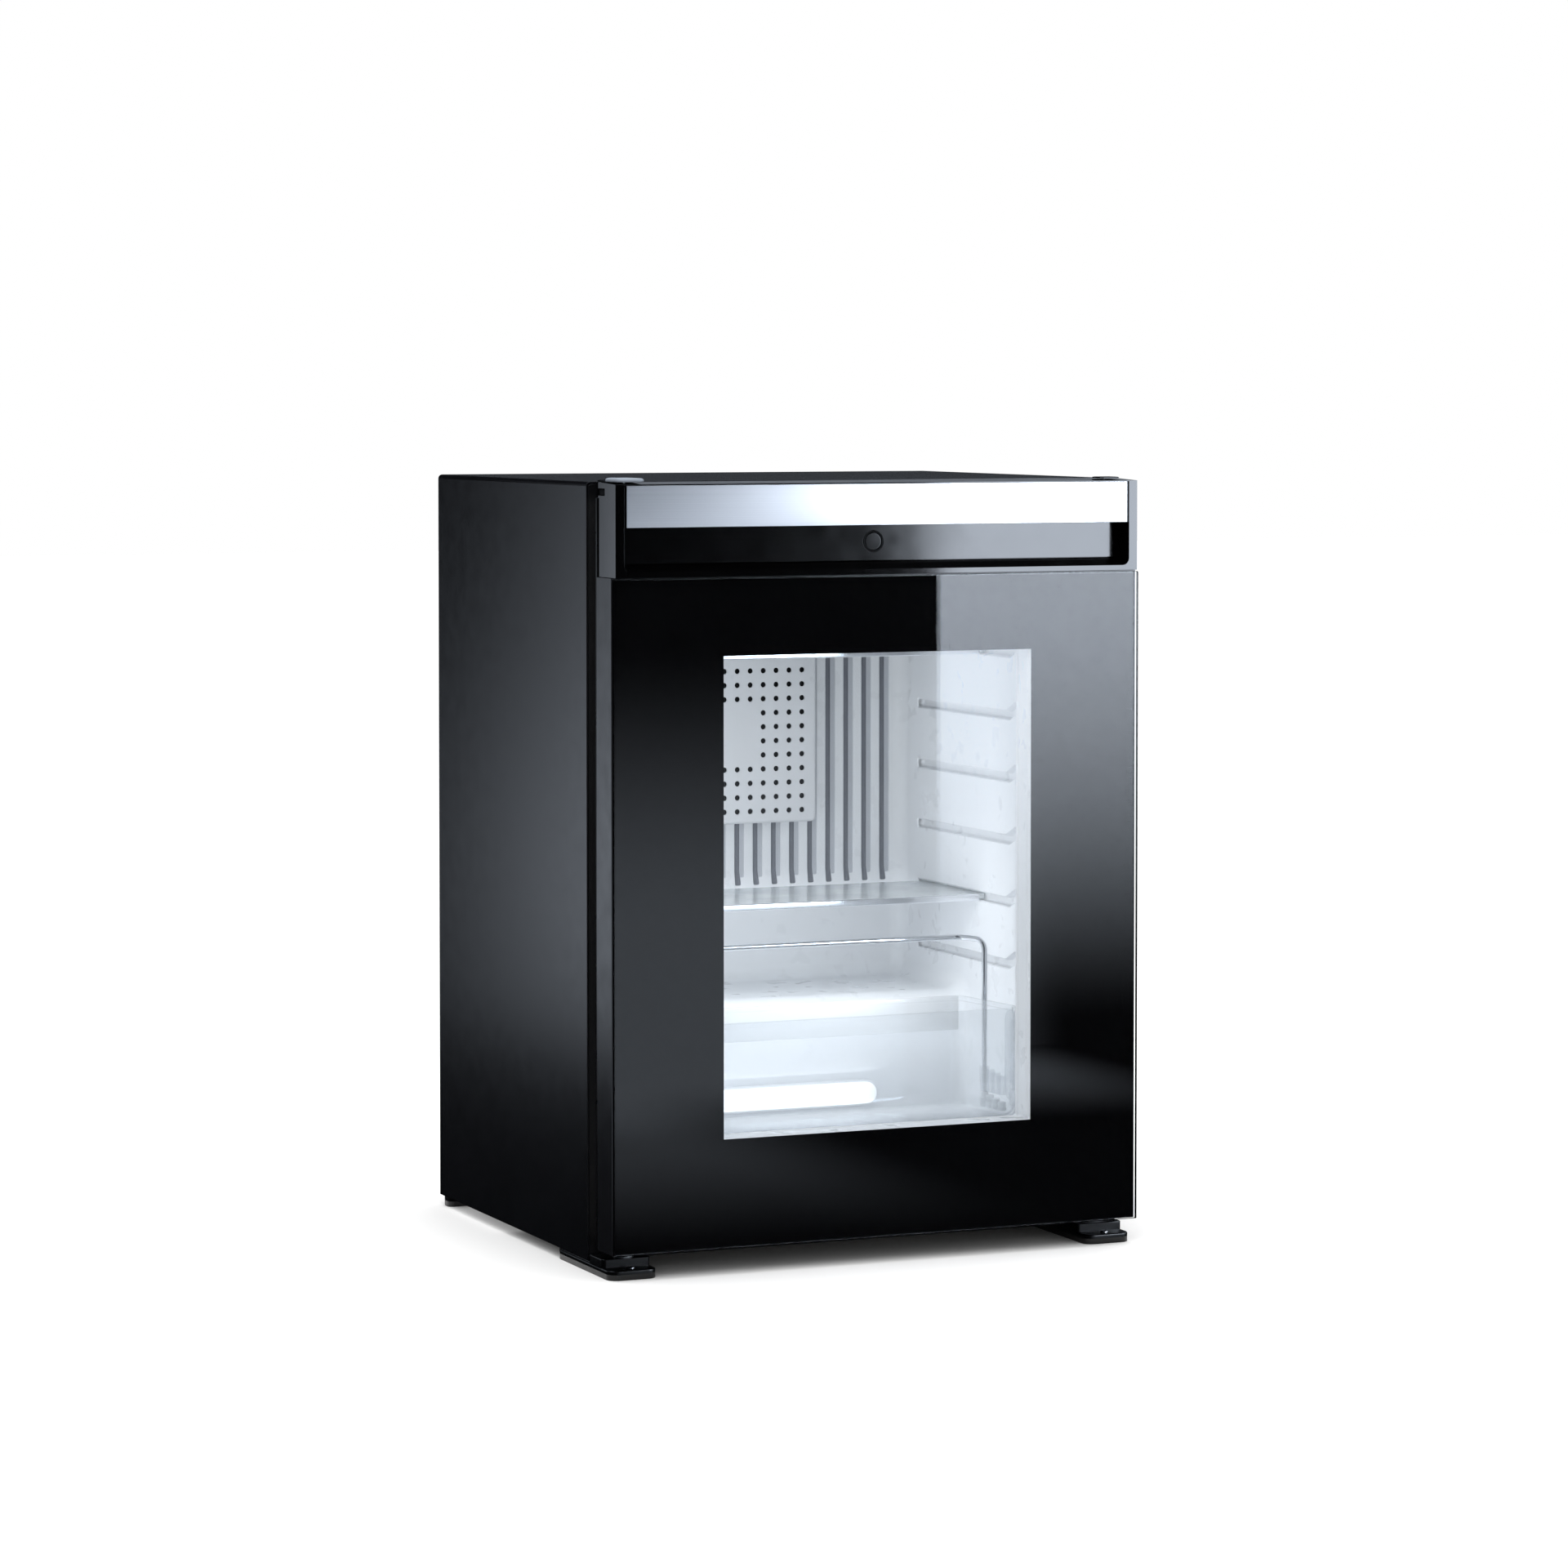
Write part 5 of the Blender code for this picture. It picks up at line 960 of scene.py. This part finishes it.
UNIT_MIDDLE = 0.4062
COIL_LEFT = -0.1482
COIL_RIGHT = 0.045
COIL_LOW = 0.150
COIL_PITCH = 0.036
COIL_RADIUS = 0.008
COIL_COLLAR = ((0.0108, 0.0004), (0.0106, 0.0016), (0.0094, 0.0028), (0.0081, 0.0036))
TANK_HEIGHT = 0.062
TANK_RADIUS = 0.024
TANK_HALF = 0.130
TANK_DOME = 0.010
CASE_TOP = 0.400
BEAD = ((-0.0035, 0.0), (-0.0018, 0.0009), (0.0018, 0.0009), (0.0035, 0.0))
CONDENSER_HALF = 0.145
CONDENSER_HEIGHT = 0.490
CONDENSER_DOWN = 0.133
CONDENSER_FLANGE = ((0.0100, 0.0003), (0.0100, 0.0014), (0.0088, 0.0024), (0.0071, 0.0030))
FIN_COUNT = 18
FIN_PITCH = 0.014
FIN_HALF_SHEET = 0.0006
FIN_COLLAR = ((0.0071, -0.0034), (0.0082, -0.0030), (0.0086, -0.0006), (0.0086, 0.0006),
              (0.0082, 0.0010), (0.0071, 0.0012))
PLATE_FACE = 0.3617
PAN_HEAD = ((1.0, 0.0), (1.0, 0.0006), (0.9, 0.0012), (0.6, 0.0017), (0.25, 0.0019))


def pan_head(form, centre, axis, base, radius=0.0036):
    """A domed screw head on a face that looks along the axis."""
    form.turned([(radius * share, rise) for share, rise in PAN_HEAD], centre, axis, 20, base)


def absorber():
    """The winding absorber tube and the welded tank under it."""
    base = TANK_HEIGHT + TANK_RADIUS
    corners = [(COIL_RIGHT, UNIT_MIDDLE, base + GAP)]
    slope = COIL_PITCH * 0.15
    for run in range(5):
        height = COIL_LOW + run * COIL_PITCH
        start, end = (COIL_LEFT, COIL_RIGHT) if run % 2 else (COIL_RIGHT, COIL_LEFT)
        corners += [(start, UNIT_MIDDLE, height), (end, UNIT_MIDDLE, height + slope)]
    bend = (COIL_PITCH - slope - 0.0018) / 2
    form = Form().tube(smooth_path(corners, bend, 12), COIL_RADIUS, 28)
    form.turned(COIL_COLLAR, (COIL_RIGHT, UNIT_MIDDLE), "Z", 28, base)
    place(form, "absorber_winding", "cabinet", "black_tube", "absorber_coil")
    shoulder = TANK_HALF - TANK_DOME
    turns = [math.radians(angle) for angle in range(6, 91, 12)]
    half = [(TANK_RADIUS * math.sin(t), -shoulder - TANK_DOME * math.cos(t)) for t in turns]
    half += [(TANK_RADIUS + wider, -shoulder + along) for wider, along in (
        (0.0, 0.0), (0.0, 0.004), (0.0005, 0.0048), (0.0005, 0.0066), (0.0, 0.0074))]
    profile = half + [(radius, -level) for radius, level in reversed(half)]
    form = Form().turned(profile, (UNIT_MIDDLE, TANK_HEIGHT), "X", 48)
    place(form, "absorber_tank", "cabinet", "black_tube", "absorber_vessel")


def boiler():
    """The sheet case round the boiler with pressed beads, a folded seam and its screws."""
    case = plan(0.082, 0.3624, 0.144, 0.446, 0.012, 8)
    path = [(0.095, 0.0022), (0.0956, 0.0008), (0.0972, 0.0)]
    for height in (0.150, 0.2475, 0.345):
        path += levels_at(height, BEAD)
    path += levels_at(CASE_TOP, ((-0.0022, 0.0), (-0.0006, 0.0008), (0.0, 0.0022)))
    form = Form().rise(case, "Z", path)
    form.bar((0.108, 0.4452, 0.100), (0.120, 0.4466, CASE_TOP - 0.005), 0.0004)
    for height in (0.112, 0.200, 0.295, 0.383):
        pan_head(form, (0.114, height), "Y", 0.4465, 0.0030)
    place(form, "boiler_jacket", "cabinet", "zinc_steel", "boiler_case", smooth=30.0)


def condenser():
    """The condenser tube, its collared fins with round corners, and the flange on the case."""
    y, z = UNIT_MIDDLE, CONDENSER_HEIGHT
    bend = [(-CONDENSER_HALF + 0.002, y, z), (CONDENSER_DOWN, y, z),
            (CONDENSER_DOWN, y, CASE_TOP + 0.0023)]
    form = Form().tube(smooth_path(bend, 0.018, 12), 0.007, 28, tip=0.002)
    fin = plan(y - 0.025, z - 0.026, y + 0.025, z + 0.026, 0.004, 5)
    for index in range(FIN_COUNT):
        x = -CONDENSER_HALF + FIN_PITCH * (index + 0.5)
        form.block(fin, "X", x - FIN_HALF_SHEET, x + FIN_HALF_SHEET, 0.0002, 0.0002, 1)
        form.turned(FIN_COLLAR, (y, z), "X", 24, x)
    form.turned(CONDENSER_FLANGE, (CONDENSER_DOWN, y), "Z", 28, CASE_TOP)
    place(form, "condenser_row", "cabinet", "black_tube", "condenser", smooth=30.0)


BOX_DEPTH = 0.012
BOX_PARTING = ((0.0, 0.0), (0.0041, 0.0), (0.0043, 0.0006), (0.0048, 0.0006), (0.0050, 0.0))
BOX_EDGE = ((-0.0012, 0.0), (-0.0005, 0.0004), (0.0, 0.0012))
GLAND_AT = (-0.105, 0.2275)
GLAND_NUT = ((0.0076, 0.0), (0.0080, 0.0004), (0.0080, 0.0035), (0.0075, 0.0040))
GLAND_THROAT = ((0.0038, 0.0), (0.0065, 0.0), (0.0085, 0.0008), (0.0096, 0.0019),
                (0.0100, 0.0026), (0.0097, 0.0032), (0.0060, 0.0034), (0.0038, 0.0034))


def electrics():
    """The terminal box with a parting line, slots and sunk screws, and the open cable gland."""
    near = CABINET_BACK + GAP
    far = near + BOX_DEPTH
    path = levels_at(near, BOX_PARTING) + levels_at(far, BOX_EDGE)
    form = Form().rise(plan(-0.140, 0.205, -0.070, 0.250, 0.003, 6), "Y", path)
    slots, wells, heads = Form(), Form(), Form()
    for index in range(5):
        x = -0.0855 + index * 0.0030
        slot = plan(x - 0.0006, 0.216, x + 0.0006, 0.239, 0.0006, 4)
        slots.block(slot, "Y", far - 0.003, far + 0.002)
    for x in (-0.1345, -0.0755):
        for z in (0.2105, 0.2445):
            wells.turned(((0.0030, far - 0.0025), (0.0030, far + 0.002)), (x, z), "Y", 24)
            pan_head(heads, (x, z), "Y", far - 0.0025, 0.0024)
    cuts = slots.cutter("box_slots", "black_plastic"), wells.cutter("box_wells", "black_plastic")
    place(form, "electrics_case", "cabinet", "black_plastic", "electrics_box", cuts=cuts)
    place(heads, "electrics_screws", "cabinet", "zinc_steel")
    start = far + GAP
    gland = Form().turned(GLAND_NUT, GLAND_AT, "Y", 6, start)
    gland.rise(disc(GLAND_AT, 0.0062), "Y", levels_at(start, GLAND_THROAT), True)
    place(gland, "gland_nut", "cabinet", "black_plastic", "cable_gland")


def rear_screws():
    """The screws of the unit's plate, of the rear panel and of what hangs on it."""
    form = Form()
    for half, heights, face, radius in (
            (0.086, (0.2716, 0.4336), PLATE_FACE, 0.0036),
            (0.188, (0.200, 0.360, 0.520), CABINET_BACK, 0.0036),
            (0.152, (0.103, 0.505), CABINET_BACK + GAP + 0.0015, 0.0030)):
        for x in (-half, half):
            for z in heights:
                pan_head(form, (x, z), "Y", face, radius)
    place(form, "rear_screw_heads", "cabinet", "zinc_steel")


# Studio

CAMERA_AT = (-1.42961, -3.35603, 0.61511)
CAMERA_YAW = 23.4247
CAMERA_PITCH = 2.26
CAMERA_SETTINGS = {
    "lens": 113.343, "sensor_width": 36.0, "shift_x": -0.0006, "shift_y": -0.13, "clip_end": 60.0,
}


def camera():
    data = bpy.data.cameras.new("camera")
    for key, value in CAMERA_SETTINGS.items():
        setattr(data, key, value)
    eye = linked("camera", data)
    eye.location = CAMERA_AT
    turn = (90.0 - CAMERA_PITCH, 0.0, -CAMERA_YAW)
    eye.rotation_euler = [math.radians(angle) for angle in turn]
    bpy.context.scene.camera = eye


def hide_from(thing, *rays):
    for ray in rays:
        setattr(thing, "visible_" + ray, False)


def flat_mesh(name, corners, faces):
    mesh = bpy.data.meshes.new(name)
    mesh.from_pydata(corners, [], faces)
    return linked(name, mesh)


def seen_share(nodes):
    """1 for the rays that show the backdrop: from the camera, a mirror or through glass."""
    rays = nodes.add("LightPath").outputs
    direct = nodes.maths("MAXIMUM", rays["Is Camera Ray"], rays["Is Glossy Ray"])
    return nodes.maths("MAXIMUM", direct, rays["Is Transmission Ray"])


FLOOR_REACH = 14.0
FLOOR_GLOW = 0.80
FLOOR_COLOUR = (0.60, 0.60, 0.60)
FLOOR_ROUGHNESS = 0.9
SHADOW_REACH = 0.16


def floor():
    """A pale floor that reads as white and keeps the object's soft shadow."""
    r = FLOOR_REACH
    corners = [(-r, -r, 0), (r, -r, 0), (r, r, 0), (-r, r, 0)]
    sheet = flat_mesh("studio_floor", corners, [(0, 1, 2, 3)])
    paint = Paint("studio_floor", FLOOR_COLOUR, FLOOR_ROUGHNESS, specular=0.0)
    near = paint.add("AmbientOcclusion", {"Distance": SHADOW_REACH})
    level = paint.maths("MULTIPLY", near.outputs["AO"], FLOOR_GLOW)
    share = paint.maths("MULTIPLY", seen_share(paint), level)
    glow = paint.add("Emission", {"Strength": share}).outputs["Emission"]
    total = paint.add("AddShader", {0: paint.skin.outputs["BSDF"], 1: glow})
    paint.show(total.outputs["Shader"])
    sheet.data.materials.append(paint.material)


WORLD_LIGHT = 0.55


def world():
    """White to the camera, in mirrors and through glass, and a plain soft light on the object."""
    sky = bpy.data.worlds.new("studio")
    bpy.context.scene.world = sky
    sky.use_nodes = True
    nodes = Nodes(sky.node_tree)
    level = nodes.spread(seen_share(nodes), WORLD_LIGHT, 1.0, 0.0, 1.0)
    white = {"Color": (1.0, 1.0, 1.0, 1.0), "Strength": level}
    nodes.feed(sky.node_tree.nodes["Background"], white)


# The studio as the gloss of the object sees it: dark cloths with soft boxes on them.
# Each soft box: on each axis where it starts, is full, fades and ends; then its level.

ROOM_LOW = (-2.4, -1.2, 0.004)
ROOM_HIGH = (2.6, 3.4, 2.6)
ROOM_BASE = 0.006
CARD_LEFT = 0.5037
ROOM_BOXES = (
    ((CARD_LEFT - 0.0005, CARD_LEFT, 3.0, 3.1), (-1.4, -1.3, -1.1, -1.0),
     (0.0196, 0.467, 0.85, 1.25), 12.7),
    ((-0.25, 0.12, 0.50, 0.64), (-1.4, -1.3, -1.19, -1.18), (-0.6, -0.5, 0.12, 0.385), 1.6),
    ((-0.25, 0.12, 0.48, 0.62), (-1.19, -1.18, -1.1, -0.75), (-0.2, -0.1, 0.1, 0.2), 1.6),
    ((-0.45, -0.15, 0.05, 0.22), (-1.15, -0.85, -0.82, -0.28), (-0.2, -0.1, 0.1, 0.2), 0.9),
    ((-2.6, -2.3, 2.4, 2.6), (-1.1, -0.6, 0.8, 1.4), (2.5, 2.55, 2.7, 2.8), 3.0),
    ((2.55, 2.58, 2.7, 2.8), (-0.9, -0.3, 2.4, 3.0), (0.3, 0.8, 1.9, 2.4), 0.85),
    ((0.4, 0.9, 2.4, 2.6), (3.35, 3.38, 3.5, 3.6), (0.77, 0.83, 0.93, 1.00), 0.26),
)
SIDE_CARD = ((-0.62, 0.30, 0.004), (-0.62, 1.70, 1.20))
SIDE_BASE = 0.01
SIDE_BOXES = (
    ((-1.0, -0.9, 0.5, 0.6), (0.22, 0.60, 0.80, 1.00), (-0.05, 0.16, 0.45, 0.78), 0.9),
    ((-1.0, -0.9, 0.5, 0.6), (0.22, 0.60, 0.95, 1.34), (-0.20, 0.12, 0.16, 0.50), 0.55),
)
STUDIO_COLOUR = (0.80, 0.88, 1.0, 1.0)


def studio_glow(name, boxes, base):
    """Plain emission by place: the sum of the soft boxes over a base level."""
    paint = Paint(name, (0.0, 0.0, 0.0), 1.0)
    where = paint.add("NewGeometry").outputs["Position"]
    axes = paint.add("SeparateXYZ", {"Vector": where}).outputs
    total = base
    for *spans, level in boxes:
        share = level
        for axis, (start, full, fading, end) in zip("XYZ", spans):
            for edge in ((start, full), (end, fading)):
                ramp = paint.spread(axes[axis], 0.0, 1.0, *edge, interpolation_type="SMOOTHSTEP")
                share = paint.maths("MULTIPLY", ramp, share)
        total = paint.maths("ADD", share, total)
    glow = paint.add("Emission", {"Color": STUDIO_COLOUR, "Strength": total})
    paint.show(glow.outputs["Emission"])
    return paint.material


def mirror_only(piece, material):
    """A studio piece that only mirror rays meet."""
    piece.data.materials.append(material)
    hide_from(piece, "camera", "diffuse", "transmission", "shadow", "volume_scatter")


def room():
    """The dark room and the card beside the cabinet, for the gloss of the object."""
    (x0, y0, z0), (x1, y1, z1) = ROOM_LOW, ROOM_HIGH
    corners = [(x, y, z) for z in (z0, z1) for y in (y0, y1) for x in (x0, x1)]
    sides = [(0, 1, 3, 2), (4, 6, 7, 5), (0, 4, 5, 1), (1, 5, 7, 3), (3, 7, 6, 2), (2, 6, 4, 0)]
    walls = flat_mesh("studio_room", corners, sides)
    mirror_only(walls, studio_glow("studio_room", ROOM_BOXES, ROOM_BASE))
    (x, near, low), (_, far, high) = SIDE_CARD
    corners = [(x, near, low), (x, far, low), (x, far, high), (x, near, high)]
    card = flat_mesh("studio_card", corners, [(0, 1, 2, 3)])
    mirror_only(card, studio_glow("studio_card", SIDE_BOXES, SIDE_BASE))


WHITE = (1.0, 1.0, 1.0)
COOL_WHITE = (0.965, 0.98, 1.0)
# Name, place, what it points at, size in metres, watts, colour
LAMPS = (
    ("key", (-1.2, -2.2, 2.6), (0.0, 0.0, 0.25), (1.8, 1.8), 40.0, WHITE),
    ("top", (0.3, 0.2, 2.8), (0.0, 0.0, 0.2), (2.4, 2.4), 45.0, WHITE),
    ("inside_roof", (0.0, -0.06, 0.500), (0.0, -0.02, 0.2), (0.24, 0.12), 0.045, COOL_WHITE),
    ("inside_front", (0.0, -0.135, 0.24), (0.0, 0.1, 0.20), (0.20, 0.28), 0.15, COOL_WHITE),
    ("inside_left", (-0.145, -0.08, 0.27), (0.16, -0.05, 0.26), (0.16, 0.28), 0.275, COOL_WHITE),
    ("inside_low", (0.0, -0.035, 0.095), (0.0, -0.2, 0.22), (0.17, 0.03), 0.06, COOL_WHITE),
    ("under_shelf", (0.0, -0.12, 0.225), (0.0, 0.08, 0.17), (0.22, 0.05), 0.065, COOL_WHITE),
)


def lights():
    """Soft rectangular lamps that light but aren't seen, mirrored or met through glass."""
    for name, at, aim, size, watts, colour in LAMPS:
        data = bpy.data.lights.new(name, "AREA")
        data.shape = "RECTANGLE"
        data.size, data.size_y = size
        data.energy = watts
        data.color = colour
        light = linked(name, data)
        light.location = at
        light.rotation_euler = (Vector(aim) - Vector(at)).to_track_quat("-Z", "Y").to_euler()
        hide_from(light, "camera", "glossy", "transmission")


make_paints()
dress_solids()
soften_edges()
for make in (liner, cover, lamp_bar, shelf_trims, bin_shell, bin_band, bin_cheeks, sockets, guard,
             door_lining, gasket, bracket, strip, door_edges, plug, feet,
             absorber, boiler, condenser, electrics, rear_screws):
    make()
camera()
world()
floor()
room()
lights()
bpy.context.scene.view_settings.view_transform = "Standard"
bpy.context.scene.cycles.transparent_max_bounces = 24
